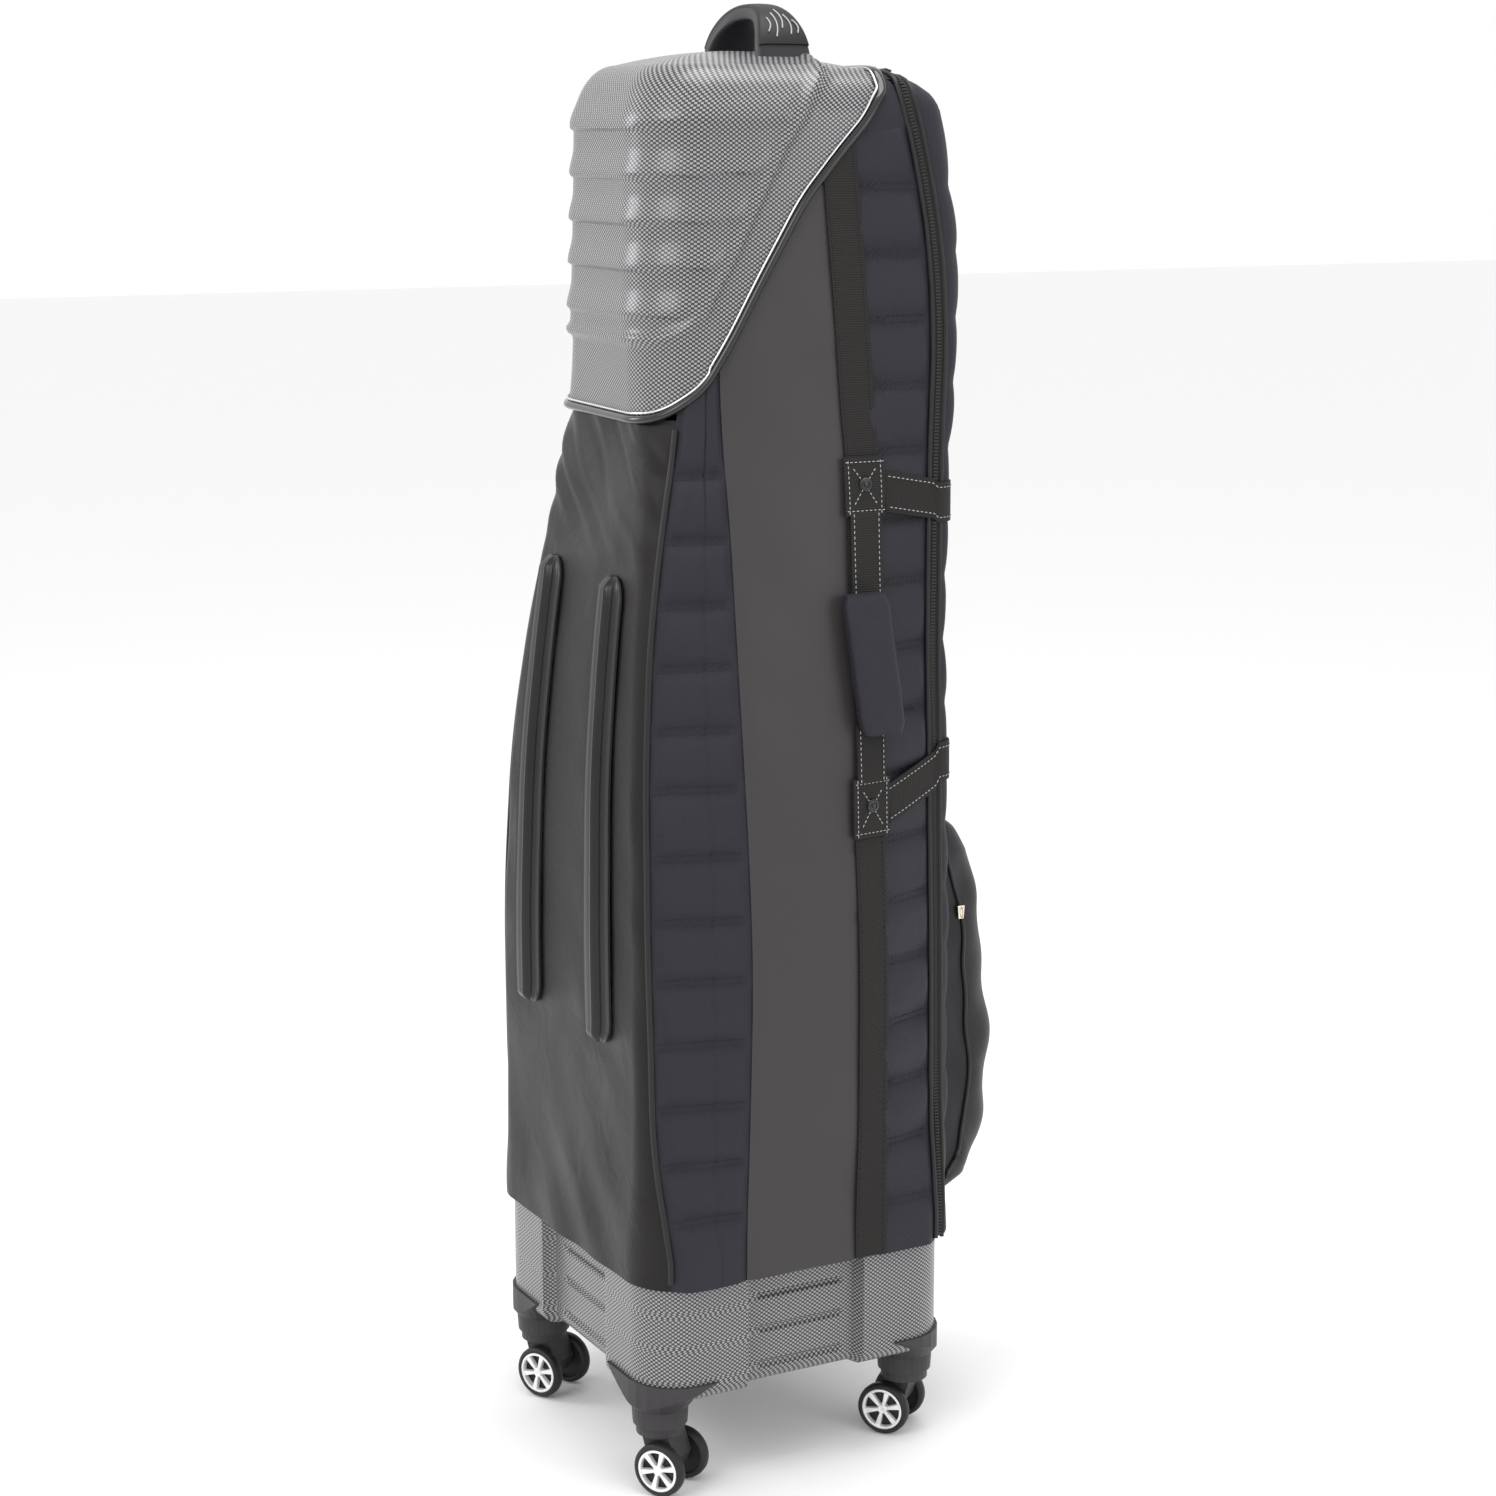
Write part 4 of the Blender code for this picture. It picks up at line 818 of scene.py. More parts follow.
FINISHES = {
    "shell": PrintedShell(),
    "trim": Plastic("gloss_trim", (0.004, 0.004, 0.004), 0.20, 0.03, 0.2, 0.5),
    "bead": Plastic("bright_bead", (0.62, 0.62, 0.64), 0.24, 0.0, 0.2, 0.0, 1.0),
    "ballistic": Cloth("ballistic_cloth", (0.0015, 0.0013, 0.0022), (0.022, 0.020, 0.030),
                       0.60, 0.0013, 0.55, 0.01, 0.25, 0.30),
    "satin": Cloth("satin_back_cloth", (0.0022, 0.0016, 0.0019), (0.0085, 0.0062, 0.0070),
                   0.38, 0.0009, 0.30, 0.01, 0.35, 0.25),
    "tarp": Cloth("coated_stripe", (0.034, 0.030, 0.031), (0.045, 0.041, 0.042),
                  0.46, 0.0008, 0.08, 0.01, 0.12, 0.30),
    "pocket": Cloth("pocket_cloth", (0.0015, 0.0014, 0.0018), (0.010, 0.009, 0.012),
                    0.42, 0.0010, 0.30, 0.01, 0.35, 0.35),
    "lining": Cloth("lining", (0.02, 0.02, 0.022), (0.05, 0.05, 0.055),
                    0.75, 0.0016, 0.4, 0.02, 0.2, 0.3),
    "webbing": Webbing(),
    "piping": Plastic("cloth_piping", (0.004, 0.0035, 0.004), 0.42, 0.25, 0.3),
    "rail": Plastic("rail_plastic", (0.006, 0.0055, 0.006), 0.28, 0.05, 0.5),
    "handle": Plastic("handle_plastic", (0.018, 0.016, 0.019), 0.42, 0.20, 0.4),
    "rubber": Plastic("grip_rubber", (0.004, 0.004, 0.0045), 0.50, 0.20, 0.2),
    "caster": Plastic("caster_plastic", (0.020, 0.018, 0.020), 0.48, 0.20, 0.3),
    "tyre": Plastic("tyre_rubber", (0.007, 0.007, 0.0075), 0.50, 0.15, 0.3),
    "rim": Plastic("silver_rim", (0.72, 0.72, 0.73), 0.34, 0.03, 0.1, 0.2, 0.35),
    "steel": Plastic("steel", (0.55, 0.55, 0.56), 0.30, 0.05, 0.3, 0.0, 1.0),
    "brass": Plastic("zip_metal", (0.66, 0.60, 0.48), 0.28, 0.03, 0.3, 0.0, 1.0),
    "coil": Plastic("zip_coil", (0.005, 0.005, 0.005), 0.45, 0.10, 0.5),
    # Pale thread colours the real stitching of the wraps and carry straps, and also the painted
    # highlight streaks on the top handle's grip.
    "thread": Plastic("pale_thread", (0.34, 0.34, 0.34), 0.70, 0.20, 0.0),
    "dark_thread": Plastic("dark_thread", (0.020, 0.019, 0.023), 0.65, 0.2, 0.0),
    "board": Plastic("board", (0.10, 0.10, 0.10), 0.60, 0.20, 0.2),
}


class Palette:
    """Every material of the case."""

    def __init__(self) -> None:
        """Build the materials."""
        groups = Groups()
        for name, finish in FINISHES.items():
            setattr(self, name, finish.make(groups))


# ---------------------------------------------------------------- stitching

def stitches(name: str, lines: Sequence[Array], length: float = 0.0034, gap: float = 0.0016,
             radius: float = 0.00045) -> bpy.types.Object:
    """Rows of thread, one short rounded stitch after another along each line.

    Args:
        name: The piece's name.
        lines: Paths, each as points by three.
        length: A stitch's length.
        gap: The space between two stitches.
        radius: The thread's radius.

    Returns:
        One piece that holds every stitch.
    """
    sides = 4
    verts: list = []
    faces: list = []
    for line in lines:
        line = np.asarray(line)
        run = np.concatenate([[0.0], np.cumsum(np.linalg.norm(np.diff(line, axis=0), axis=1))])
        starts = np.arange(gap, run[-1] - length, length + gap)
        for start in starts:
            a, m, b = (np.array([np.interp(start + s * length, run, line[:, k])
                                 for k in range(3)]) for s in (0.0, 0.5, 1.0))
            way = b - a
            way /= max(np.linalg.norm(way), 1e-9)
            side = np.cross(way, (0.37, 0.21, 0.90))
            side /= np.linalg.norm(side)
            high = np.cross(way, side)
            first = len(verts)
            verts.append(a)
            for centre, share in ((a + 0.12 * (b - a), 0.8), (m, 1.0), (b - 0.12 * (b - a), 0.8)):
                for k in range(sides):
                    angle = 2 * math.pi * k / sides
                    verts.append(centre + share * radius * (math.cos(angle) * side
                                                            + math.sin(angle) * high))
            verts.append(b)
            for k in range(sides):
                j = (k + 1) % sides
                faces.append((first, first + 1 + j, first + 1 + k))
                for level in (0, 1):
                    base = first + 1 + level * sides
                    faces.append((base + k, base + j, base + sides + j, base + sides + k))
                base = first + 1 + 2 * sides
                faces.append((base + k, base + j, base + sides))
    piece = from_faces(name, verts, faces)
    piece.data.shade_smooth()
    return piece


# ---------------------------------------------------------------- soft body

@dataclass
class SoftBody:
    """The sewn cloth panels between the base and the hood."""

    form: CaseForm
    palette: Palette
    cloth: float = 0.0035
    rear_lines: tuple = (0.261, 0.312, 0.365, 0.423, 0.480, 0.534, 0.591, 0.651, 0.702, 0.756,
                         0.809, 0.864, 0.919)
    puff: float = 0.0046
    line_gap: float = 0.0058
    tuck: float = 0.004
    quilt_reach: float = 0.010
    highest: float = 1.225
    creases: tuple = ((0.584, 0.10, 1.0), (0.530, -0.12, 0.8), (0.640, 0.06, 0.4),
                      (1.000, 0.35, 0.5))
    row_step: float = 0.0042
    back_depth: float = -0.13

    def quilt(self, height: Array, lines: Array) -> Array:
        """How far a quilted panel stands out at a height, from its sewn lines."""
        near = np.min(np.abs(height[..., None] - lines), axis=-1)
        swell = 1 - np.exp(-(np.maximum(near - self.line_gap / 2, 0) / self.quilt_reach) ** 1.3)
        return self.puff * swell - 0.0032 * np.exp(-(near / 0.0045) ** 2)

    def side_panel(self, side: Side, rear: Callable, front: Callable, columns: int,
                   relief: Callable, name: str, material: bpy.types.Material,
                   node: str) -> Array:
        """One panel of the side, from a rear seam to a front seam, up to the hood.

        Args:
            side: Which side.
            rear: Gives the rear seam's depth at heights.
            front: Gives the front seam's depth at heights.
            columns: Points across.
            relief: Gives the panel's relief from its points and its share across.
            name: The piece's name.
            material: Its cloth.
            node: The node that it replaces.

        Returns:
            The panel's outer points on the straight right side.
        """
        share = np.linspace(0, 1, columns)
        top = np.full(columns, 1.0)
        for _ in range(12):
            y = rear(top) + (front(top) - rear(top)) * share
            top = 0.5 * top + 0.5 * np.minimum(self.form.hood_height(y) + self.tuck,
                                               self.highest)
        rows = int((1.0 - self.form.hem) / self.row_step)
        v = np.linspace(0, 1, rows)[:, None]
        z = self.form.hem + v * (top[None, :] - self.form.hem)
        y = rear(z) + (front(z) - rear(z)) * share[None, :]
        low = np.minimum(z, self.form.shoulder)
        over = np.clip((z - self.form.shoulder) / self.form.round_height, 0, 1)
        x = self.form.side_x(y, low) - self.form.round_side * (1 - np.sqrt(1 - over ** 2))
        points = np.dstack([x, y, z])
        normal = surface_normals(points)
        uv = np.dstack([y, z])
        points = points + normal * relief(points, np.repeat(share[None, :], rows, 0))[..., None]
        self.make(points, uv, side, name, material, node)
        return points

    def make(self, points: Array, uv: Array, side: Side, name: str,
             material: bpy.types.Material, node: str) -> None:
        """Turn a sheet of the right side into a panel on either side."""
        if side is Side.LEFT:
            points = (points * MIRROR)[:, ::-1]
            uv = uv[:, ::-1]
        piece = grid_piece(name, self.form.turn(points), uv)
        thicken(piece, self.cloth)
        dress(piece, material, "root", [node])

    def corner(self, z: Array) -> Array:
        """The depth of the back corner's seam at heights."""
        sizes = self.form.sizes(np.minimum(z, self.form.shoulder))
        angle = math.asin(1.0 - self.form.seam_share)
        return sizes[2] + sizes[4] * (1 - math.cos(angle))

    def rear_relief(self, p: Array, t: Array) -> Array:
        """The rear quilted panel: its rows, its upright seam and its wrinkles."""
        edge = ease(t / 0.22) * ease((1 - t) / 0.16)
        groove = 0.0012 * np.exp(-((t - 0.62) / 0.02) ** 2)
        return (self.quilt(p[..., 2], np.array(self.rear_lines)) * edge - groove
                + 0.0011 * ripple(p, 3, 0.06) * edge)

    def front_relief(self, p: Array, t: Array) -> Array:
        """The front quilted panel: its rows and its wrinkles."""
        edge = ease(t / 0.18) * ease((1 - t) / 0.16)
        return (self.quilt(p[..., 2], FRONT_SEAMS) * edge + 0.0012 * ripple(p, 8, 0.05) * edge)

    def tarp_relief(self, p: Array, t: Array) -> Array:
        """The smooth stripe, with a few slanting creases."""
        edge = ease(t / 0.10) * ease((1 - t) / 0.12)
        crease = np.zeros_like(t)
        for height, slope, depth in self.creases:
            away = p[..., 2] - height - slope * p[..., 1]
            crease += depth * np.exp(-(away / 0.006) ** 2) * ease(t / 0.3)
        return 0.0012 + 0.0010 * edge - 0.0011 * crease + 0.0009 * ripple(p, 5, 0.11) * edge

    def build(self) -> None:
        """Make every panel, the corner piping and the stitching."""
        form = self.form
        for side in Side:
            word = side.word
            quilt = self.side_panel(side, self.corner, form.tarp_seam, 46, self.rear_relief,
                                    f"rear_quilted_panel_{word}", self.palette.ballistic,
                                    f"rear_quilt_{word}")
            self.side_panel(side, form.tarp_seam, form.webbing_middle, 44, self.tarp_relief,
                            f"coated_stripe_{word}", self.palette.tarp, f"tarp_panel_{word}")
            front = self.side_panel(side, form.webbing_middle, form.zip_rear, 40,
                                    self.front_relief, f"front_quilted_panel_{word}",
                                    self.palette.ballistic, f"front_quilt_{word}")
            rows = [self.row_line(panel, z + s * self.line_gap / 2, side, first, 0.97)
                    for panel, seams, first in ((quilt, self.rear_lines, 0.05),
                                                (front, FRONT_SEAMS, 0.30))
                    for z in seams for s in (-1, 1)]
            thread = stitches(f"quilting_thread_{word}", [r for r in rows if r is not None])
            dress(thread, self.palette.dark_thread, "root")
        self.back_panel()

    def row_line(self, points: Array, height: float, side: Side, first: float,
                 last: float) -> Array | None:
        """A line across a panel at one height, just proud of its cloth."""
        columns = points.shape[1]
        chosen = range(int(first * columns), int(last * columns))
        line = []
        for k in chosen:
            z = points[:, k, 2]
            if height < z[-1] - 0.006:
                line.append([np.interp(height, z, points[:, k, a]) for a in range(3)])
        if len(line) < 3:
            return None
        line = np.array(line)
        line[:, 0] += 0.0004
        if side is Side.LEFT:
            line[:, 0] *= -1
        return self.form.turn(line)

    def back_panel(self) -> None:
        """The satin back panel with its folds, and the piping down its corner seams."""
        form = self.form
        rows = 190
        z = np.linspace(form.hem, form.hood_height(self.back_depth) + self.tuck, rows)
        sizes = form.sizes(z)
        half, _, back, _, rear_r, _ = [s[:, None] for s in sizes]
        angle = math.asin(1.0 - form.seam_share)
        corner = np.linspace(0, angle, 12)[None, 1:]
        flat = np.linspace(0, 1, 44)[None, :]
        x = np.concatenate([flat * (half - rear_r), half - rear_r + rear_r * np.sin(corner)], 1)
        y = np.concatenate([back + 0 * flat, back + rear_r * (1 - np.cos(corner))], 1)
        height = np.repeat(z[:, None], x.shape[1], axis=1)
        right = np.dstack([x, y, height])
        points = np.concatenate([right[:, ::-1] * MIRROR, right[:, 1:]], 1)
        normal = surface_normals(points)
        uv = surface_uv(points)
        across = np.abs(points[..., 0]) / (half + 0.001)
        edge = ease((1 - across) / 0.10)
        up = ease((points[..., 2] - 0.80) / 0.12)
        down = ease((0.34 - points[..., 2]) / 0.10)
        folds = points[..., 0] * 0.9 + points[..., 2]
        pull = np.sin(folds * 2 * math.pi / 0.047 + 1.2 * ripple(points, 21, 0.15))
        relief = (0.0016 * pull * up + 0.0014 * ripple(points, 22, 0.07) * (0.4 + up + down)
                  + 0.0012 * ripple(points, 23, 0.20)) * edge
        under_rails = np.exp(-((np.abs(points[..., 0] + 0.006) - 0.074) / 0.034) ** 4)
        under_rails *= ease((points[..., 2] - 0.39) / 0.02) * ease((0.85 - points[..., 2]) / 0.02)
        relief = relief * (1 - under_rails) - 0.0012 * under_rails
        piece = grid_piece("back_cloth", form.turn(points + normal * relief[..., None]), uv)
        thicken(piece, self.cloth)
        dress(piece, self.palette.satin, "root", ["back_panel"])
        for side in Side:
            line = right[2:-2, -1] + np.array([0.0010, -0.0008, 0.0])
            line[:, 0] *= side.value
            cord = tube(f"corner_piping_{side.word}", form.turn(line), 0.0030, 10)
            dress(cord, self.palette.piping, "root")


# ---------------------------------------------------------------- hood

@dataclass
class Hood:
    """The hard hood with its ribs, its rounded ridge and its edge trim."""

    form: CaseForm
    palette: Palette
    proud: float = 0.002
    wall: float = 0.003
    ridge: tuple = ((-0.20, 1.030), (-0.100, 1.030), (-0.084, 1.034), (-0.066, 1.046),
                    (-0.048, 1.077), (-0.030, 1.110), (-0.008, 1.156), (0.013, 1.198),
                    (0.040, 1.237), (0.060, 1.262), (0.075, 1.30), (0.09, 1.40))
    rib_heights: tuple = (1.052, 1.092, 1.131, 1.170, 1.211)
    rib_depth: float = 0.0038
    rib_fade: float = 0.024
    bead: float = 0.0042
    row_step: float = 0.0024
    front_edge: float = 0.1068
    low: float = 0.950
    steps: tuple = (26, 20, 60, 8, 14)

    def relief(self, points: Array) -> Array:
        """The hood's ribs and ridge as a height over the form."""
        ridge = np.array(self.ridge)
        fine_y = np.linspace(ridge[0, 0], ridge[-1, 0], 160)
        fine_z = np.interp(fine_y, ridge[:, 0], ridge[:, 1])
        fine_z = np.convolve(np.pad(fine_z, 6, mode="edge"), np.ones(13) / 13, mode="valid")
        y, z = points[..., 1], points[..., 2]
        away = np.full(y.shape, 9.0)
        for a, b in zip(fine_y, fine_z):
            away = np.minimum(away, np.hypot(y - a, z - b))
        inside = z > np.interp(y, fine_y, fine_z)
        away = np.where(inside, away, -away)
        step = 0.0030 * ease((away + 0.004) / 0.010)
        bead = self.bead * np.exp(-((away - 0.003) / 0.0046) ** 2)
        reach = ease((away - 0.008) / 0.010)
        ribs = np.zeros_like(y)
        slope = 0.055 * (y + 0.11)
        for height in self.rib_heights:
            over = z - height - slope
            rise = ease((over + 0.0012) / 0.0024) * (1 - ease((over - 0.002) / self.rib_fade))
            ribs += rise
        return self.proud + step + bead + self.rib_depth * ribs * reach

    def build(self) -> None:
        """Make the hood and its trim."""
        form = self.form
        points = form.skin(self.low, self.row_step, self.steps, True)
        uv = surface_uv(points)
        normal = surface_normals(points)
        normal[-1] = UPWARD
        edge = form.hood_height(points[..., 1])
        keep = points[..., 2] > edge - 1.05 * self.row_step
        points[..., 2] = np.where(keep, np.maximum(points[..., 2], edge), points[..., 2])
        relief = self.relief(points)
        piece = grid_piece("hood", form.turn(points + normal * relief[..., None]), uv, keep)
        thicken(piece, self.wall, 50)
        dress(piece, self.palette.shell, "root", ["hood_shell"])
        self.edge_trim()

    def edge_path(self, out: float, rise: float) -> Array:
        """Points along the hood's lower edge, once round from the top's middle.

        Args:
            out: How far off the form.
            rise: How far above the edge.

        Returns:
            Points on the turned case.
        """
        form = self.form
        front_y = self.front_edge - rise
        skin = form.half_skin(form.shoulder + 0.034, 0.004, self.steps, rings=40)
        top = []
        for row in skin[:60]:
            past = np.flatnonzero(row[:, 1] >= front_y)
            if row[0, 2] < 1.248 or not len(past) or past[0] == 0:
                continue
            a, b = row[past[0] - 1], row[past[0]]
            point = a + (b - a) * (front_y - a[1]) / (b[1] - a[1])
            top.append(point + np.array([out, 0.0, out * 0.6]))
        top = top[::-1]
        lead = [np.array([x, front_y, top[0][2]])
                for x in np.linspace(0.0, top[0][0] - 0.004, 10)]
        rows = lead + top
        _, _, back, _, rear_r, _ = [float(v) for v in form.sizes(0.995)]
        for depth in np.linspace(0.1050, back + rear_r, 150):
            height = float(form.hood_height(depth))
            over = min(max((height - form.shoulder) / form.round_height, 0.0), 1.0)
            inset = form.round_side * (1 - math.sqrt(1 - over * over))
            x = float(form.side_x(depth, min(height, form.shoulder))) - inset
            rows.append(np.array([x + out, depth - rise * 0.7, height + rise * 0.7]))
        for angle in np.linspace(0.06, math.pi / 2, 26):
            guess = back + rear_r * (1 - math.sin(angle))
            height = float(form.hood_height(guess))
            half, _, back_here, _, radius, _ = [float(v) for v in form.sizes(height)]
            wide = radius + out
            rows.append(np.array([half - radius + wide * math.cos(angle),
                                  back_here + radius - wide * math.sin(angle), height + rise]))
        last = rows[-1]
        for x in np.linspace(last[0], 0, 10)[1:]:
            rows.append(np.array([x, last[1], last[2]]))
        right = np.array(rows)
        for _ in range(2):
            right[1:-1] = 0.25 * right[:-2] + 0.5 * right[1:-1] + 0.25 * right[2:]
        left = right[::-1] * MIRROR
        return form.turn(np.vstack([right, left[1:]]))

    def edge_trim(self) -> None:
        """The glossy black edge moulding with a thin bright bead inside it."""
        trim = tube("hood_edge_trim", self.edge_path(0.0015, 0.0), 0.0056, 12, 0.72)
        dress(trim, self.palette.trim, "root", ["hood_trim"])
        bead = tube("hood_edge_bead", self.edge_path(0.0034, 0.0056), 0.0011, 8)
        dress(bead, self.palette.bead, "root")


# ---------------------------------------------------------------- base

@dataclass
class Base:
    """The hard base tray with a recessed, grooved panel in each face."""

    form: CaseForm
    palette: Palette
    half_width: float = 0.166
    half_depth: float = 0.157
    corner: float = 0.045
    bottom: float = 0.0887
    rim: float = 0.228
    fillet: float = 0.015
    wall: float = 0.003
    recess: float = 0.0125
    recess_half: tuple = (0.066, 0.058)
    grooves: tuple = (0.108, 0.142, 0.174)
    groove_half: float = 0.044

    def relief(self, along: Array, height: Array, half: float) -> Array:
        """The recess and grooves of one face, as a depth below it."""
        inside = ease((half - np.abs(along)) / 0.0045 + 0.5)
        depth = self.recess * inside
        for level in self.grooves:
            length = ease((self.groove_half - np.abs(along)) / 0.004 + 0.5)
            slot = np.exp(-((height - level) / 0.0028) ** 4)
            depth = depth + 0.0042 * slot * length
        return depth

    def build(self) -> None:
        """Make the tray."""
        steps = 92
        straight = np.linspace(-1, 1, steps)
        ring = []
        for face in range(4):
            along_half = (self.half_width, self.half_depth)[face % 2] - self.corner
            across = (self.half_depth, self.half_width)[face % 2]
            turn = math.pi / 2 * face
            c, s = math.cos(turn), math.sin(turn)
            for t in straight[:-1]:
                ring.append((t * along_half * c + across * s, t * along_half * s - across * c,
                             face, t * along_half))
            for a in np.linspace(0, math.pi / 2, 12, endpoint=False):
                lx = along_half + self.corner * math.sin(a)
                ly = across - self.corner + self.corner * math.cos(a)
                ring.append((lx * c + ly * s, lx * s - ly * c, -1, 0.0))
        ring.append(ring[0])
        outline = np.array([(p[0], p[1]) for p in ring])
        faces = np.array([p[2] for p in ring])
        along = np.array([p[3] for p in ring])
        heights = [(self.fillet * (1 - math.sin(a)), self.bottom + self.fillet * (1 - math.cos(a)))
                   for a in np.linspace(0, math.pi / 2, 7)]
        heights += [(0.0, z) for z in np.linspace(self.bottom + self.fillet + 0.002, self.rim, 76)]
        rows = []
        normal = np.gradient(outline, axis=0)
        normal = np.column_stack([normal[:, 1], -normal[:, 0]])
        normal[0] = normal[-1] = (0.0, -1.0)
        normal /= np.linalg.norm(normal, axis=1, keepdims=True)
        for inset, z in heights:
            depth = np.zeros(len(ring))
            for face in range(4):
                chosen = faces == face
                relief = self.relief(along, np.full(len(ring), z), self.recess_half[face % 2])
                depth = np.where(chosen, relief, depth)
            flat = outline - normal * (inset + depth)[:, None]
            rows.append(np.column_stack([flat, np.full(len(ring), z)]))
        points = np.array(rows)
        uv = surface_uv(points)
        floor = np.array([points[0] * np.array([s, s, 1.0]) for s in (0.0, 0.3, 0.6, 0.85)])
        points = np.concatenate([floor, points], axis=0)
        pad = np.repeat(uv[:1], 4, axis=0)
        pad[..., 1] -= np.array([0.12, 0.08, 0.045, 0.02])[:, None]
        uv = np.concatenate([pad, uv], axis=0)
        points = points + np.array(self.form.place)
        piece = grid_piece("base_tray", points, uv, closed=True)
        thicken(piece, self.wall * 0.8, 45)
        dress(piece, self.palette.shell, "root", ["base_shell"])


# ---------------------------------------------------------------- webbing, straps and handles

@dataclass
class Straps:
    """Webbing on both sides, wrap straps, tabs with press studs and the carry handle."""

    form: CaseForm
    palette: Palette
    width: float = 0.033
    lift: float = 0.0038
    thick: float = 0.0017

    def band(self, name: str, side: Side, centre: Callable, z: Array, width: float, lift: float,
             thick: float, upper: Callable | None = None) -> tuple:
        """A band that lies on the side.

        Args:
            name: The piece's name.
            side: Which side it lies on.
            centre: Gives its middle's depth at heights.
            z: Heights along it.
            width: Its width.
            lift: How far its inner face stands off the form.
            thick: Its thickness.
            upper: Gives its top's height at depths, where it doesn't end level.

        Returns:
            The piece, and its outer points.
        """
        columns = 11
        share = np.linspace(-0.5, 0.5, columns)
        height = np.repeat(z[:, None], columns, axis=1)
        if upper is not None:
            along = ((z - z[0]) / (z[-1] - z[0]))[:, None]
            height = z[0] + along * (upper(centre(z[-1:]) + share * width)[None, :] - z[0])
        y = centre(height) + share[None, :] * width
        x = self.form.side_x(y, np.minimum(height, self.form.shoulder)) + lift + thick
        points = np.dstack([x, y, height])
        uv = np.dstack([y, height])
        if side is Side.LEFT:
            points = (points * MIRROR)[:, ::-1]
            uv = uv[:, ::-1]
        outer = self.form.turn(points)
        piece = grid_piece(name, outer, uv)
        strap_of(piece, thick, thick * 0.25)
        return piece, outer

    @staticmethod
    def edges(outer: Array, inset: int = 1, proud: float = 0.0004) -> list:
        """Stitching lines along both edges of a band."""
        lifted = outer + surface_normals(outer) * proud
        return [lifted[:, inset], lifted[:, -1 - inset]]

    def build(self) -> None:
        """Make every band and what is sewn on it."""
        form = self.form
        web = form.webbing_middle
        for side in Side:
            top = float(form.hood_height(web(1.17) - self.width / 2)) + 0.001
            z = np.linspace(form.hem + 0.001, top, 220)
            piece, outer = self.band(f"side_band_{side.word}", side, web, z, self.width,
                                     self.lift - 0.0008, self.thick, form.hood_height)
            dress(piece, self.palette.webbing, "root", [f"side_webbing_{side.word}"])
            thread = stitches(f"side_band_thread_{side.word}", self.edges(outer), 0.0030, 0.0022)
            dress(thread, self.palette.dark_thread, "root")
            self.wraps(side)
        self.carry()

    def wraps(self, side: Side) -> None:
        """The two straps that reach from the lid round one side."""
        form = self.form
        for level, rear_z, front_z, low_y in (("upper", 0.900, 0.886, 0.0965),
                                              ("lower", 0.624, 0.652, 0.081)):
            width, columns = 0.036, 9
            share = np.linspace(-0.5, 0.5, columns)
            rows = []
            half, _, _, front, _, front_r = [float(v) for v in form.sizes(front_z)]
            lift = self.lift + 0.0016
            for y in np.linspace(low_y, front - front_r, 36):
                z = rear_z + (front_z - rear_z) * (y - low_y) / (front - low_y) + share * width
                x = form.side_x(np.full(columns, y), z) + lift
                rows.append(np.column_stack([x, np.full(columns, y), z]))
            for a in np.linspace(0, math.pi / 2, 10)[1:]:
                z = front_z + share * width
                x = np.full(columns, half - front_r + (front_r + lift) * math.cos(a))
                y = np.full(columns, front - front_r + (front_r + lift) * math.sin(a))
                rows.append(np.column_stack([x, y, z]))
            for x in np.linspace(half - front_r, half - front_r - 0.030, 6)[1:]:
                rows.append(np.column_stack([np.full(columns, x),
                                             np.full(columns, front + lift),
                                             front_z + share * width]))
            points = np.array(rows)
            run = np.concatenate([[0], np.cumsum(np.linalg.norm(
                np.diff(points[:, columns // 2], axis=0), axis=1))])
            uv = np.dstack([np.repeat(share[None, :] * width, len(rows), 0),
                            np.repeat(run[:, None], columns, 1)])
            points = points[::-1] if side is Side.RIGHT else points
            uv = uv[::-1] if side is Side.RIGHT else uv
            points = points * np.array([side.value, 1.0, 1.0])
            outer = form.turn(points)
            name = f"wrap_band_{level}_{side.word}"
            piece = grid_piece(name, outer, uv)
            strap_of(piece, self.thick, 0.0004)
            dress(piece, self.palette.webbing, "lid", [f"wrap_strap_{level}_{side.word}"])
            thread = stitches(f"{name}_thread", self.edges(outer), 0.0030, 0.0018, 0.0005)
            dress(thread, self.palette.thread, "lid")

    def carry(self) -> None:
        """The carry handle's tabs, studs, bands and padded sleeve."""
        form = self.form
        web = form.webbing_middle
        lift = self.lift + self.thick
        for level, low, high in (("upper", 0.880, 0.931), ("lower", 0.597, 0.651)):
            z = np.linspace(low, high, 24)
            tab, outer = self.band(f"carry_patch_{level}", Side.RIGHT, web, z, 0.040, lift, 0.0026)
            dress(tab, self.palette.webbing, "root", [f"carry_tab_{level}"])
            lines = self.edges(outer, 1)
            lifted = outer + surface_normals(outer) * 0.0004
            lines += [lifted[2], lifted[-3]]
            a, b = lifted[4, 2], lifted[-5, -3]
            c, d = lifted[4, -3], lifted[-5, 2]
            middle = lifted[len(lifted) // 2, lifted.shape[1] // 2]
            lines += [np.array([a, middle, b]), np.array([c, middle, d])]
            thread = stitches(f"carry_patch_{level}_thread", lines, 0.0028, 0.0016, 0.0005)
            dress(thread, self.palette.thread, "root")
            self.stud(level, (low + high) / 2 + 0.002, lift + 0.0026)
        for level, low, high in (("upper", 0.806, 0.884), ("lower", 0.646, 0.698)):
            z = np.linspace(low, high, 30)
            strap, outer = self.band(f"carry_band_{level}", Side.RIGHT, web, z, 0.031,
                                     lift, 0.0034)
            dress(strap, self.palette.webbing, "root", [f"carry_webbing_{level}"])
            thread = stitches(f"carry_band_{level}_thread", self.edges(outer), 0.003, 0.0018,
                              0.0005)
            dress(thread, self.palette.thread, "root")
        self.sleeve()

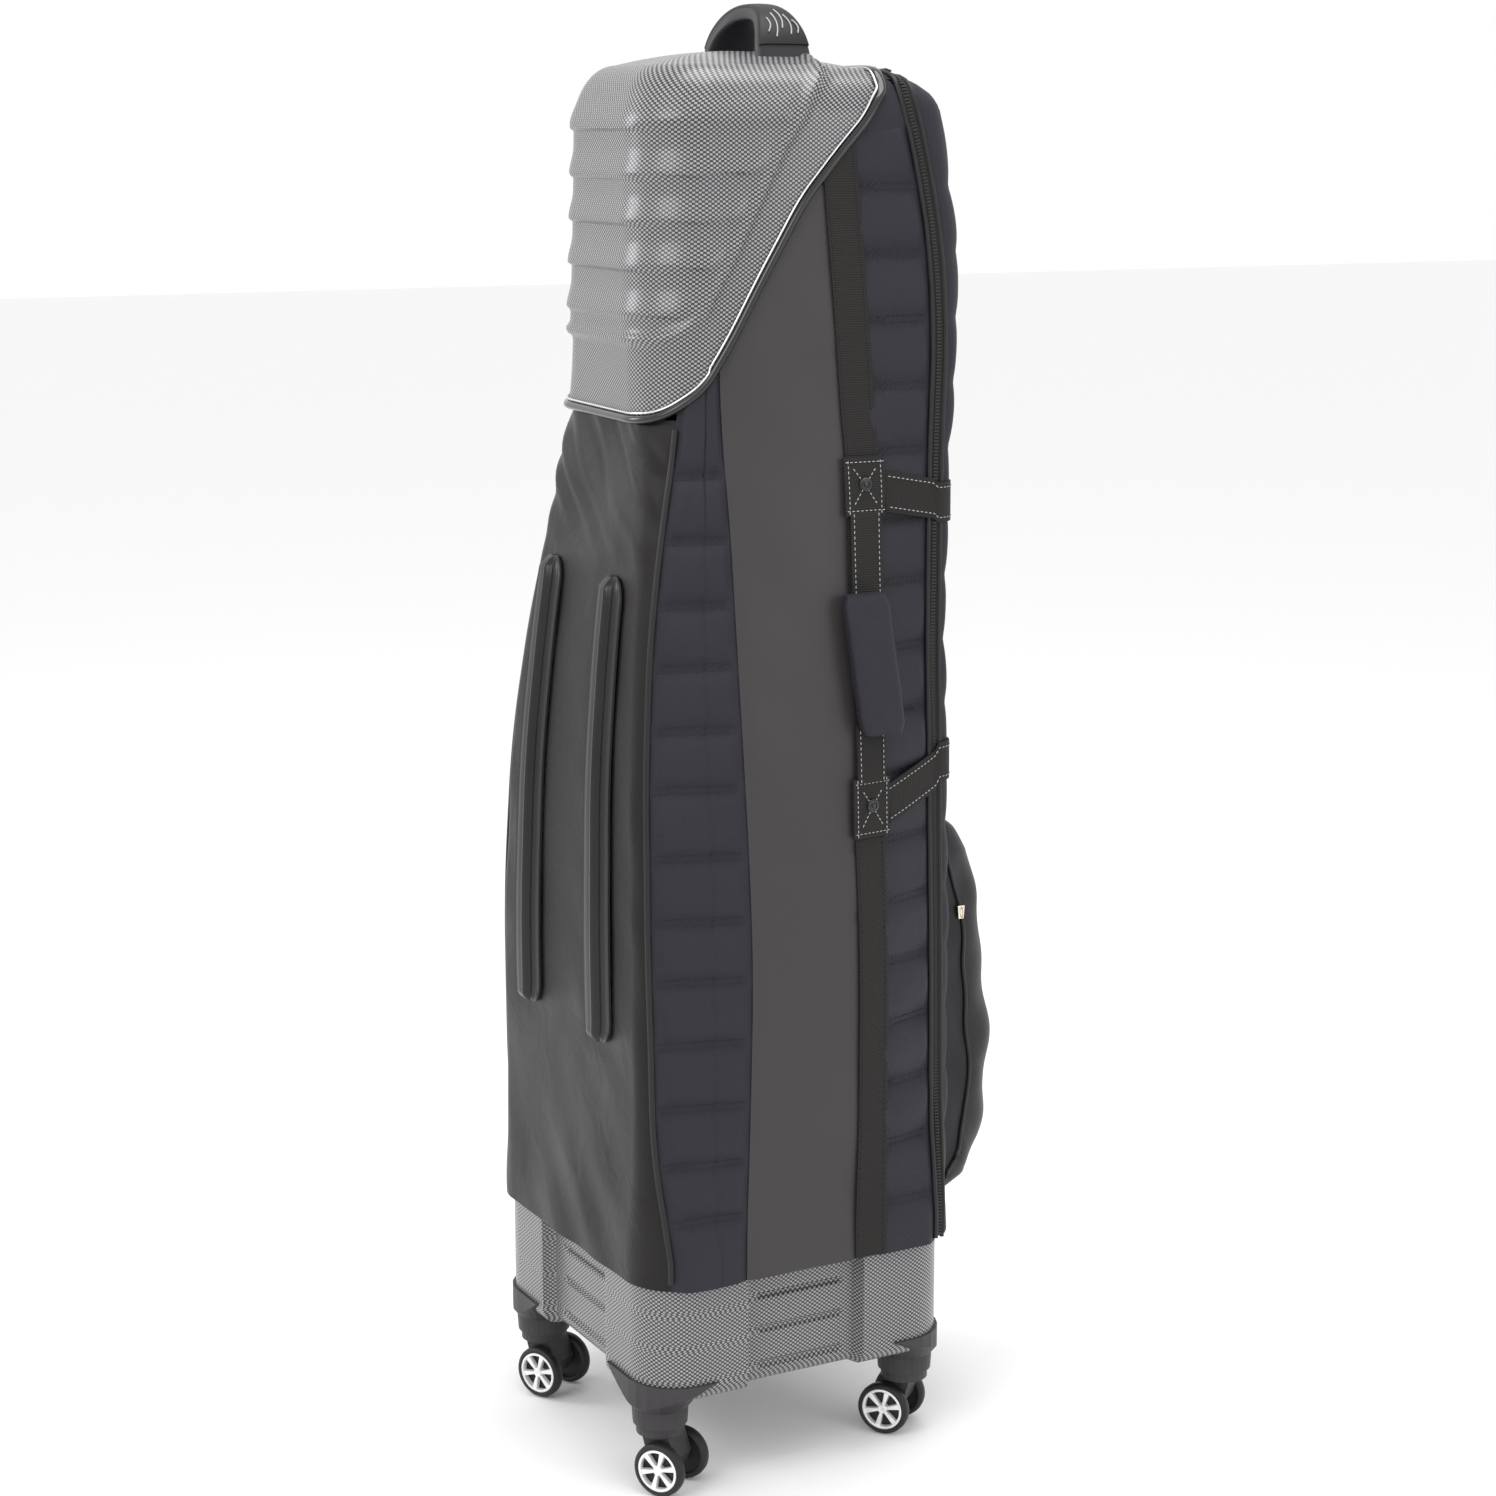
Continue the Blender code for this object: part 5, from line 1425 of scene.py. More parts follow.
    def stud(self, level: str, height: float, lift: float) -> None:
        """A press stud: a dished cap with a raised rim."""
        form = self.form
        y = float(form.webbing_middle(height))
        x = float(form.side_x(y, height)) + lift
        deselect()
        bpy.ops.mesh.primitive_cylinder_add(vertices=36, radius=0.0062, depth=0.0020,
                                            location=(0, 0, 0.0010))
        cap = bpy.context.active_object
        soften_edges(cap, 0.0008)
        deselect()
        bpy.ops.mesh.primitive_torus_add(major_radius=0.0040, minor_radius=0.0007,
                                         major_segments=36, minor_segments=8,
                                         location=(0, 0, 0.0020))
        ring = bpy.context.active_object
        deselect()
        bpy.ops.mesh.primitive_uv_sphere_add(segments=24, ring_count=12, radius=0.0022,
                                             location=(0, 0, 0.0016))
        dome = bpy.context.active_object
        piece = joined(f"press_stud_{level}", [cap, ring, dome])
        slope = float(form.side_x(y - 0.005, height) - form.side_x(y + 0.005, height))
        lean = Matrix.Rotation(math.atan2(slope, 0.010), 4, "Z")
        lean = lean @ Matrix.Rotation(math.pi / 2, 4, "Y")
        settle_in_mesh(piece, form.turn_matrix((x, y, height)) @ lean)
        smooth(piece, 40)
        dress(piece, self.palette.trim, "root", [f"snap_cap_{level}"])

    def sleeve(self) -> None:
        """The padded sleeve of the carry handle."""
        form = self.form
        low, high = 0.691, 0.814
        rows, around = 60, 40
        z = np.linspace(low, high, rows)
        share = (z - low) / (high - low)
        end = np.minimum(share, 1 - share)
        full = 0.86 + 0.14 * ease(end / 0.08)
        bulge = 1 + 0.05 * np.sin(share * math.pi)
        centre = 0.070 - 0.008 * share
        base = form.side_x(centre, z) + self.lift + self.thick + 0.0046
        a = np.linspace(0, 2 * math.pi, around)
        c, s = np.cos(a), np.sin(a)
        x = (base[:, None] + 0.0082
             + 0.0080 * (full * bulge)[:, None] * np.sign(c) * np.abs(c) ** 0.55)
        y = centre[:, None] + 0.0215 * full[:, None] * np.sign(s) * np.abs(s) ** 0.62
        points = np.dstack([x, y, np.repeat(z[:, None], around, 1)])
        points[..., 0] += 0.0006 * ripple(points, 31, 0.03)
        pole = [points[0].mean(0), points[-1].mean(0)]
        ends = [np.repeat(p[None], around, 0) for p in pole]
        rim_low = points[0] * 0.55 + ends[0] * 0.45 + np.array([0, 0, -0.0006])
        rim_high = points[-1] * 0.55 + ends[1] * 0.45 + np.array([0, 0, 0.0006])
        points = np.concatenate([[ends[0] + np.array([0, 0, -0.0006]), rim_low], points,
                                 [rim_high, ends[1] + np.array([0, 0, 0.0006])]])
        uv = np.dstack([np.repeat((a * 0.012)[None], len(points), 0), points[..., 2]])
        piece = grid_piece("carry_sleeve", form.turn(points), uv, closed=True)
        outward(piece)
        smooth(piece, 50)
        dress(piece, self.palette.ballistic, "carry_handle", ["carry_grip"])


# ---------------------------------------------------------------- rails

@dataclass
class Rails:
    """Two moulded skid rails on the back, each a rounded ridge with two lines on a flange."""

    form: CaseForm
    palette: Palette
    offset: float = 0.074
    middle: float = -0.006
    low: float = 0.410
    high: float = 0.828

    def build(self) -> None:
        """Make both rails."""
        form = self.form
        rows, end = 150, 0.024
        half_profile = ((0.026, 0.0005), (0.0258, 0.0024), (0.0235, 0.0034), (0.0222, 0.0032),
                        (0.0205, 0.0034), (0.0180, 0.0050), (0.0170, 0.0056), (0.0155, 0.0054),
                        (0.0130, 0.0056), (0.0112, 0.0080), (0.0098, 0.0103), (0.0075, 0.0114),
                        (0.0060, 0.0110), (0.0035, 0.0112), (0.0, 0.0116))
        shape = np.array(half_profile + tuple((-x, h) for x, h in half_profile[-2::-1]))
        for side in Side:
            share = 0.5 - 0.5 * np.cos(np.linspace(0, math.pi, rows))
            z0 = self.low + (self.high - self.low) * share
            grid = []
            for height in z0:
                reach = min(height - self.low, self.high - height, end) / end
                full = math.sqrt(max(0.0, 1 - (1 - reach) ** 2))
                x = shape[:, 0] * (0.25 + 0.75 * full)
                lift = 0.0005 + (shape[:, 1] - 0.0005) * min(1.0, full * 1.25)
                back = float(form.sizes(height)[2])
                grid.append(np.column_stack([self.middle + side.value * self.offset + x,
                                             back - 0.0002 - lift, np.full(len(x), height)]))
            points = np.array(grid)
            points = points[:, ::-1]
            piece = grid_piece(f"skid_rail_{side.word}_moulding", form.turn(points))
            thicken(piece, 0.0015, 35)
            dress(piece, self.palette.rail, "root", [f"skid_rail_{side.word}"])


# ---------------------------------------------------------------- top handle

@dataclass
class TopHandle:
    """The moulded handle on the hood, with a rubber grip that carries short pale streaks of painted
    highlight.
    """

    form: CaseForm
    palette: Palette
    x: float = -0.006
    y: float = 0.038
    half_length: float = 0.069
    half_width: float = 0.026
    narrowing: float = 0.52
    thick: float = 0.013
    top: float = 1.3185
    foot: float = 1.250
    roundness: float = 0.80

    def arch(self, shrink: float, angle: float) -> tuple:
        """A point of the arch and its half width.

        Args:
            shrink: How far inside the outer face.
            angle: Where on the arch, from the right foot.

        Returns:
            The point's x and z, and the band's half width there.
        """
        c, s = math.cos(angle), math.sin(angle)
        x = self.x + (self.half_length - shrink) * math.copysign(abs(c) ** self.roundness, c)
        z = self.foot + (self.top - shrink - self.foot) * abs(s) ** self.roundness
        rise = (z + shrink * abs(s) - self.foot) / (self.top - self.foot)
        return x, z, self.half_width * (1 - self.narrowing * max(rise, 0.0) ** 3)

    def loop(self, name: str, outer: float, inner: float, inset: float, start: float,
             stop: float, crown: float) -> bpy.types.Object:
        """A closed band over the arch with rounded edges."""
        angles = np.linspace(start, stop, 72)
        section = 28
        rows = []
        for angle in angles:
            ox, oz, half = self.arch(outer, angle)
            ix, iz, _ = self.arch(inner, angle)
            ring = []
            for k in range(section):
                t = 2 * math.pi * k / section
                c, s = math.cos(t), math.sin(t)
                across = (half - inset) * math.copysign(abs(c) ** 0.35, c)
                depth = 0.5 + 0.5 * math.copysign(abs(s) ** 0.5, s)
                bow = crown * (1 - (across / half) ** 2) * max(depth, 0.0)
                x = ix + (ox - ix) * depth
                z = iz + (oz - iz) * depth
                way = Vector((ox - ix, oz - iz)).normalized()
                ring.append((x + way.x * bow, self.y + across, z + way.y * bow))
            rows.append(ring + ring[:1])
        points = np.array(rows)
        ends = [np.repeat(points[k].mean(0)[None], points.shape[1], 0) for k in (0, -1)]
        points = np.concatenate([[ends[0]], points, [ends[1]]])
        piece = grid_piece(name, self.form.turn(points), closed=True)
        outward(piece)
        smooth(piece, 50)
        return piece

    def build(self) -> None:
        """Make the handle, its grip and the painted highlight streaks on the grip."""
        body = self.loop("top_handle_moulding", 0.0, self.thick, 0.0, 0.02, math.pi - 0.02, 0.0)
        dress(body, self.palette.handle, "root", ["top_handle"])
        grip = self.loop("top_handle_grip", -0.0012, 0.0035, 0.0006, 0.42, math.pi - 0.42, 0.0008)
        dress(grip, self.palette.rubber, "root", ["handle_grip"])
        # Pale tubes along the grip, in the pale thread material, are painted highlights: they stand
        # in for the shine that light makes along the grip's tread, not for ridges of the grip.
        painted_highlights = []
        for side in (1, -1):
            for lane, start, stop in ((-0.62, 0.60, 0.86), (-0.30, 0.52, 0.98), (0.02, 0.66, 1.08),
                                      (0.34, 0.56, 0.94), (0.64, 0.58, 0.82)):
                line = []
                for angle in np.linspace(start, stop, 14):
                    a = angle if side > 0 else math.pi - angle
                    x, z, half = self.arch(-0.0022, a)
                    bend = 0.12 * math.sin((angle - start) / (stop - start) * math.pi)
                    line.append((x, self.y + (lane + bend) * half * 0.95, z))
                painted_highlights.append(tube("ridge", self.form.turn(np.array(line)), 0.0007, 6, 1.0,
                                   Vector((0, 1, 0))))
        piece = joined("grip_painted_highlights", painted_highlights)
        dress(piece, self.palette.thread, "root")


# ---------------------------------------------------------------- lid, zip and pocket

@dataclass
class Lid:
    """The zipped front lid with its zip tapes, coil, piping and shoe pocket."""

    form: CaseForm
    palette: Palette
    cloth: float = 0.0035
    zip_width: float = 0.012

    def zip_path(self, move: float, out: float, low: float = 0.203) -> Array:
        """Points along the U of the zip, a distance forward of its rear edge.

        Args:
            move: The distance forward.
            out: How far off the form.
            low: The height that the path starts at.

        Returns:
            Points from the right foot over the top to the left foot, on the straight form.
        """
        form = self.form
        rows = []
        for z in np.linspace(low, form.shoulder, 230):
            y = float(form.zip_rear(z)) + move
            rows.append((float(form.side_x(y, z)) + out, y, z))
        half, _, _, front, _, front_r = [float(v) for v in form.sizes(form.shoulder)]
        for a in np.linspace(0, math.pi / 2, 18)[1:]:
            z = form.shoulder + form.round_height * math.sin(a)
            y = float(form.zip_rear(z)) + move
            inset = 1 - math.cos(a)
            fore = front - form.round_front * inset
            low_y = fore - front_r
            x = half - form.round_side * inset
            if y > low_y:
                reach = min(y - low_y, front_r)
                x = x - front_r + math.sqrt(front_r ** 2 - reach ** 2)
            rows.append((x + out * math.cos(a), y, min(z, self.top_height(y)) + out * math.sin(a)))
        last = rows[-1]
        for x in np.linspace(last[0], 0, 26)[1:]:
            rows.append((x, last[1], last[2]))
        right = np.array(rows)
        left = right[::-1] * MIRROR
        return np.vstack([right, left[1:]])

    def top_height(self, y: float) -> float:
        """The height of the rounded front edge at a depth, in the middle of the case."""
        form = self.form
        front = float(form.sizes(form.shoulder)[3])
        cosine = min(max(1 - (front - y) / form.round_front, -1.0), 1.0)
        if cosine <= 0:
            return form.shoulder + form.round_height
        return form.shoulder + form.round_height * math.sin(math.acos(cosine))

    def build(self) -> None:
        """Make the lid, its zip and the pocket."""
        form = self.form
        points = form.skin(form.hem, 0.0048, (6, 4, 44, 8, 26), False)
        uv = surface_uv(points)
        normal = surface_normals(points)
        normal[-1] = UPWARD
        zip_front = form.zip_rear(points[..., 2]) + self.zip_width + 0.0005
        keep = points[..., 1] > zip_front - 0.0055
        points[..., 1] = np.where(keep, np.maximum(points[..., 1], zip_front), points[..., 1])
        inward = ease((points[..., 1] - zip_front) / 0.010)
        near = np.min(np.abs(points[..., 2][..., None] - FRONT_SEAMS), axis=-1)
        front = float(form.sizes(0.5)[3])
        relief = inward * (0.0012 + 0.0010 * ripple(points, 41, 0.09)
                           + 0.0022 * (1 - np.exp(-(near / 0.011) ** 1.4)))
        relief = np.where(points[..., 1] > front - 0.004, relief, relief * 0.8)
        piece = grid_piece("lid_cloth", form.turn(points + normal * relief[..., None]), uv, keep)
        thicken(piece, self.cloth)
        dress(piece, self.palette.ballistic, "lid", ["front_lid"])
        self.zip()
        self.top_gusset()
        self.pocket()
        self.sliders()

    def zip(self) -> None:
        """The zip's tape, its coil of teeth and the piping on both edges."""
        form = self.form
        rear = self.zip_path(-0.0015, 0.0006)
        fore = self.zip_path(self.zip_width + 0.0015, 0.0006)
        share = np.linspace(0, 1, 7)[:, None, None]
        strip = (rear[None] * (1 - share) + fore[None] * share)[::-1]
        uv = np.dstack([np.repeat(np.arange(strip.shape[1])[None] * 0.005, 7, 0),
                        np.repeat(np.linspace(0, self.zip_width, 7)[:, None], strip.shape[1], 1)])
        tape = grid_piece("zip_tape", form.turn(strip.transpose(1, 0, 2)),
                          uv.transpose(1, 0, 2))
        apply_modifier(tape, "SOLIDIFY", thickness=0.0016, offset=-1.0)
        outward(tape)
        dress(tape, self.palette.webbing, "root", ["zip_track"])
        for label, move, radius, body in (("rear", 0.0, 0.0024, "root"),
                                          ("front", self.zip_width + 0.0010, 0.0024, "lid")):
            path = form.turn(self.zip_path(move, 0.0016))
            cord = tube(f"zip_piping_{label}", path, radius, 8)
            dress(cord, self.palette.piping, body)
        middle = form.turn(self.zip_path(self.zip_width / 2, 0.0016))
        run = np.concatenate([[0], np.cumsum(np.linalg.norm(np.diff(middle, axis=0), axis=1))])
        pitch = 0.0030
        verts: list = []
        faces: list = []
        box = [(-1, -1, 0), (1, -1, 0), (1, 1, 0), (-1, 1, 0),
               (-0.8, -0.7, 1), (0.8, -0.7, 1), (0.8, 0.7, 1), (-0.8, 0.7, 1)]
        quads = [(0, 3, 2, 1), (4, 5, 6, 7), (0, 1, 5, 4), (1, 2, 6, 5), (2, 3, 7, 6), (3, 0, 4, 7)]
        for start in np.arange(pitch, run[-1] - pitch, pitch):
            here = np.array([np.interp(start, run, middle[:, k]) for k in range(3)])
            ahead = np.array([np.interp(start + pitch, run, middle[:, k]) for k in range(3)])
            way = (ahead - here) / np.linalg.norm(ahead - here)
            outer = np.array([here[0] + 0.008, 0.0, max(here[2] - 1.0, 0.0) * 0.9 - 0.05])
            outer = outer if abs(way[0]) < 0.7 else np.array([0.0, 0.3, 1.0])
            outer = outer - way * outer.dot(way)
            outer /= np.linalg.norm(outer)
            across = np.cross(way, outer)
            first = len(verts)
            for a, b, c in box:
                verts.append(here + way * a * 0.0010 + across * b * 0.0030 + outer * c * 0.0014)
            faces += [tuple(first + q for q in quad) for quad in quads]
        coil = from_faces("zip_coil", verts, faces)
        dress(coil, self.palette.coil, "root")

    def top_gusset(self) -> None:
        """The strip of cloth over the top, between the hood's edge and the zip."""
        form = self.form
        points = form.skin(1.205, 0.0030, (4, 4, 110, 10, 16), False)
        uv = surface_uv(points)
        normal = surface_normals(points)
        normal[-1] = UPWARD
        zip_rear = form.zip_rear(points[..., 2])
        hood = form.hood_height(points[..., 1])
        keep = (points[..., 1] < zip_rear + 0.0015) & (points[..., 2] < hood + 0.003)
        keep &= points[..., 1] > 0.070
        piece = grid_piece("top_gusset", form.turn(points + normal * 0.0004), uv, keep)
        thicken(piece, 0.003)
        dress(piece, self.palette.ballistic, "root")

    def pocket(self) -> None:
        """The shoe pocket: a sagging, piped bag on the lid's lower front."""
        form = self.form
        depth_table = np.array(((0.226, 0.012), (0.236, 0.044), (0.262, 0.064), (0.300, 0.073),
                                (0.360, 0.0765), (0.440, 0.0708), (0.510, 0.064),
                                (0.555, 0.049), (0.582, 0.026), (0.590, 0.008)))
        z = np.concatenate([np.linspace(0.226, 0.24, 8, endpoint=False),
                            np.linspace(0.24, 0.555, 80, endpoint=False),
                            np.linspace(0.555, 0.590, 16)])
        depth = np.interp(z, depth_table[:, 0], depth_table[:, 1])
        depth = np.convolve(np.pad(depth, 2, mode="edge"), np.ones(5) / 5, mode="valid")
        rows = []
        for height, deep in zip(z, depth):
            radius = min(0.040, deep * 0.8)
            half = 0.126 - 0.010 * (1 - min(1.0, deep / 0.05))
            front = float(form.sizes(height)[3]) + 0.0006
            ring = [(half, front + t * (deep - radius)) for t in np.linspace(0, 1, 14)]
            ring += [(half - radius + radius * math.cos(a), front + deep - radius
                      + radius * math.sin(a)) for a in np.linspace(0, math.pi / 2, 16)[1:]]
            ring += [(x, front + deep) for x in np.linspace(half - radius, 0, 24)[1:]]
            right = np.array(ring)
            full = np.vstack([right, (right[::-1] * np.array([-1.0, 1.0]))[1:]])
            rows.append(np.column_stack([full, np.full(len(full), height)]))
        points = np.array(rows)
        uv = surface_uv(points)
        normal = surface_normals(points)
        front = form.sizes(z)[3][:, None]
        out = ease((points[..., 1] - front - 0.004) / 0.03)
        fold = np.sin((points[..., 2] * 0.8 + points[..., 1] * 0.9 + 0.3 * points[..., 0])
                      * 2 * math.pi / 0.060 + 1.8 * ripple(points, 52, 0.14))
        relief = out * (0.0016 * fold + 0.0024 * ripple(points, 53, 0.085) - 0.002)
        points = points + normal * relief[..., None]
        piece = grid_piece("shoe_pocket_cloth", form.turn(points), uv)
        thicken(piece, 0.0018)
        dress(piece, self.palette.pocket, "lid", ["shoe_pocket"])
        for side in (1, -1):
            line = points[2:-3, 13 if side > 0 else -14] + np.array([side * 0.0006, 0.0, 0.0])
            cord = tube(f"pocket_piping_{'right' if side > 0 else 'left'}", form.turn(line),
                        0.0021, 8)
            dress(cord, self.palette.piping, "lid")

    def sliders(self) -> None:
        """The two main zip sliders with their pulls, and the pocket's slider."""
        form = self.form
        y = float(form.zip_rear(form.shoulder + form.round_height)) + self.zip_width / 2
        front = float(form.sizes(form.shoulder)[3])
        cosine = 1 - (front - y) / form.round_front
        angle = math.acos(min(max(cosine, -1.0), 1.0))
        height = form.shoulder + form.round_height * math.sin(angle)
        slope = math.atan(-(form.round_height * math.cos(angle))
                          / (form.round_front * math.sin(angle)))
        lean = Matrix.Rotation(slope, 4, "X")
        for word, x, sign in (("right", 0.050, 1), ("left", 0.032, -1)):
            body = self.slider_body(sign)
            body.name = f"slider_body_{word}"
            settle_in_mesh(body, form.turn_matrix((x, y, height)) @ lean)
            dress(body, self.palette.brass, f"zip_slider_{word}", [f"zip_slider_{word}"])
            pull = self.pull_tab(sign)
            pull.name = f"pull_tab_{word}"
            rise = Matrix.Translation((sign * 0.0075, 0.0, 0.0042))
            settle_in_mesh(pull, form.turn_matrix((x, y, height)) @ lean @ rise)
            dress(pull, self.palette.rail, f"zip_pull_{word}", [f"zip_pull_{word}"])
        low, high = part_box("pocket_slider")
        body = self.slider_body(1)
        body.name = "pocket_slider_body"
        place = Matrix.Translation((Vector(low) + Vector(high)) / 2)
        turn = Matrix.Rotation(math.pi / 2, 4, "Y")
        settle_in_mesh(body, place @ turn @ Matrix.Translation((0, 0, -0.0035))
                       @ Matrix.Diagonal((0.9, 0.9, 0.8, 1)))
        dress(body, self.palette.brass, "pocket_slider", ["pocket_slider"])

    @staticmethod
    def slider_body(sign: int) -> bpy.types.Object:
        """A cast slider: a waisted body with a bridge over it, along X."""
        deselect()
        bpy.ops.mesh.primitive_cube_add(size=1.0, location=(0, 0, 0.0026))
        body = bpy.context.active_object
        body.dimensions = (0.014, 0.0088, 0.0030)
        bpy.context.view_layer.update()
        settle_in_mesh(body, Matrix.Identity(4))
        for vertex in body.data.vertices:
            if vertex.co.x * sign > 0:
                vertex.co.y *= 0.72
        soften_edges(body, 0.0009)
        deselect()
        bpy.ops.mesh.primitive_torus_add(major_radius=0.0040, minor_radius=0.0009,
                                         major_segments=28, minor_segments=8,
                                         location=(0, 0, 0.0036),
                                         rotation=(math.pi / 2, 0, 0))
        bridge = bpy.context.active_object
        bridge.scale = (1.25, 1.0, 0.62)
        bpy.context.view_layer.update()
        piece = joined("slider", [body, bridge])
        smooth(piece, 40)
        return piece

    @staticmethod
    def pull_tab(sign: int) -> bpy.types.Object:
        """A moulded pull that hinges at its root, along X."""
        deselect()
        bpy.ops.mesh.primitive_cube_add(size=1.0, location=(sign * 0.0125, 0, 0))
        tab = bpy.context.active_object
        tab.dimensions = (0.0195, 0.0068, 0.0020)
        bpy.context.view_layer.update()
        settle_in_mesh(tab, Matrix.Identity(4))
        for vertex in tab.data.vertices:
            if vertex.co.x * sign < 0.010:
                vertex.co.y *= 0.6
        soften_edges(tab, 0.0007)
        smooth(tab, 40)
        return tab


# ---------------------------------------------------------------- casters

@dataclass
class Casters:
    """The four double-wheel casters: the wheels' tyres, spoked rims and caps."""

    palette: Palette
    radius: float = 0.025
    width: float = 0.012
    spokes: int = 6

    def wheel(self, name: str) -> bpy.types.Object:
        """One wheel about Y, its spokes to +Y: a tyre, a rim with tapered spokes and a round cap.

        Args:
            name: The piece's name.

        Returns:
            The wheel at the origin, with its materials on it.
        """
        half = self.width / 2
        profile = [(0.0196, half - 0.0028), (0.0200, half - 0.0006), (0.0212, half - 0.0001),
                   (0.0234, half - 0.0008), (0.0246, half - 0.0026), (self.radius, 0.0),
                   (0.0246, -half + 0.0026), (0.0234, -half + 0.0008), (0.0212, -half + 0.0001),
                   (0.0200, -half + 0.0006), (0.0196, -half + 0.0028)]
        tyre = self.turned(f"{name}_tyre", profile)
        ring = [(0.0170, half - 0.0032), (0.0174, half - 0.0008), (0.0184, half - 0.0004),
                (0.0197, half - 0.0009), (0.0197, half - 0.0060), (0.0172, half - 0.0060)]
        rim = self.turned("rim", ring)
        web = [(0.0036, half - 0.0085), (0.0195, half - 0.0085), (0.0195, half - 0.0070),
               (0.0036, half - 0.0070)]
        dish = self.turned("dish", web)
        cap = [(0.0, half - 0.0012), (0.0022, half - 0.0006), (0.0036, half - 0.0004),
               (0.0044, half - 0.0012), (0.0050, half - 0.0030), (0.0050, half - 0.0070),
               (0.0, half - 0.0070)]
        hub = self.turned("cap", cap)
        arms = [self.spoke(half, 2 * math.pi * (k + 0.25) / self.spokes)
                for k in range(self.spokes)]
        for part, material in ((tyre, self.palette.tyre), (rim, self.palette.rim),
                               (dish, self.palette.tyre), (hub, self.palette.rim)):
            part.data.materials.append(material)
        for arm in arms:
            arm.data.materials.append(self.palette.rim)
        piece = joined(name, [tyre, rim, dish, hub] + arms)
        settle_in_mesh(piece, Matrix.Rotation(-math.pi / 2, 4, "X"))
        smooth(piece, 40)
        return piece

    @staticmethod
    def turned(name: str, profile: Sequence[tuple]) -> bpy.types.Object:
        """A closed profile of radius and height, turned about Z."""
        steps = 56
        rows = np.array([[(r * math.cos(a), r * math.sin(a), z) for r, z in profile
                          + [profile[0]]] for a in np.linspace(0, 2 * math.pi, steps + 1)])
        piece = grid_piece(name, rows, closed=True)
        outward(piece)
        piece.data.materials.clear()
        return piece

    @staticmethod
    def spoke(half: float, angle: float) -> bpy.types.Object:
        """A spoke that widens to the rim, with a raised middle."""
        deselect()
        bpy.ops.mesh.primitive_cube_add(size=1.0)
        arm = bpy.context.active_object
        for vertex in arm.data.vertices:
            far = vertex.co.x > 0
            high = vertex.co.z > 0
            x = 0.0178 if far else 0.0040
            y = math.copysign((0.0030 if far else 0.0016) - (0.0004 if high else 0.0), vertex.co.y)
            z = half - (0.0012 if high else 0.0062) - (0.0004 if far and high else 0.0)
            vertex.co = (x, y, z)
        soften_edges(arm, 0.0005, 2)
        settle_in_mesh(arm, Matrix.Rotation(angle, 4, "Z"))
        arm.data.materials.clear()
        return arm

    def build(self) -> None:
        """Put a detailed wheel where each CAD wheel stands, and dress the forks and housings."""
        for name, node in list(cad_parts.items()):
            if name.startswith("wheel_"):
                low, high = (Vector(v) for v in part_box(name))
                middle = (low + high) / 2
                partner = name.replace("outer", "@").replace("inner", "outer").replace("@", "inner")
                other_low, other_high = (Vector(v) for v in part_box(partner))
                other = (other_low + other_high) / 2
                way = (middle - other).normalized()
                piece = self.wheel(f"{name}_detailed")
                turn = Vector((0, 1, 0)).rotation_difference(way).to_matrix().to_4x4()
                settle_in_mesh(piece, Matrix.Translation(middle) @ turn)
                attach(piece, name)
                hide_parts(name)
                LOG.info("%s", piece.name)
            elif name.startswith(("caster_fork", "caster_housing")):
                node.data.materials.clear()
                node.data.materials.append(self.palette.caster)
            elif name.startswith("axle"):
                node.data.materials.clear()
                node.data.materials.append(self.palette.steel)


def dress_inside(palette: Palette) -> None:
    """Give the inner CAD pieces their finishes."""
    for name, material in (("base_pad", palette.lining), ("back_stiffener", palette.board),
                           ("inner_strap_lower", palette.webbing),
                           ("inner_strap_upper", palette.webbing)):
        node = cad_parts[name]
        node.data.materials.clear()
        node.data.materials.append(material)


# ---------------------------------------------------------------- studio

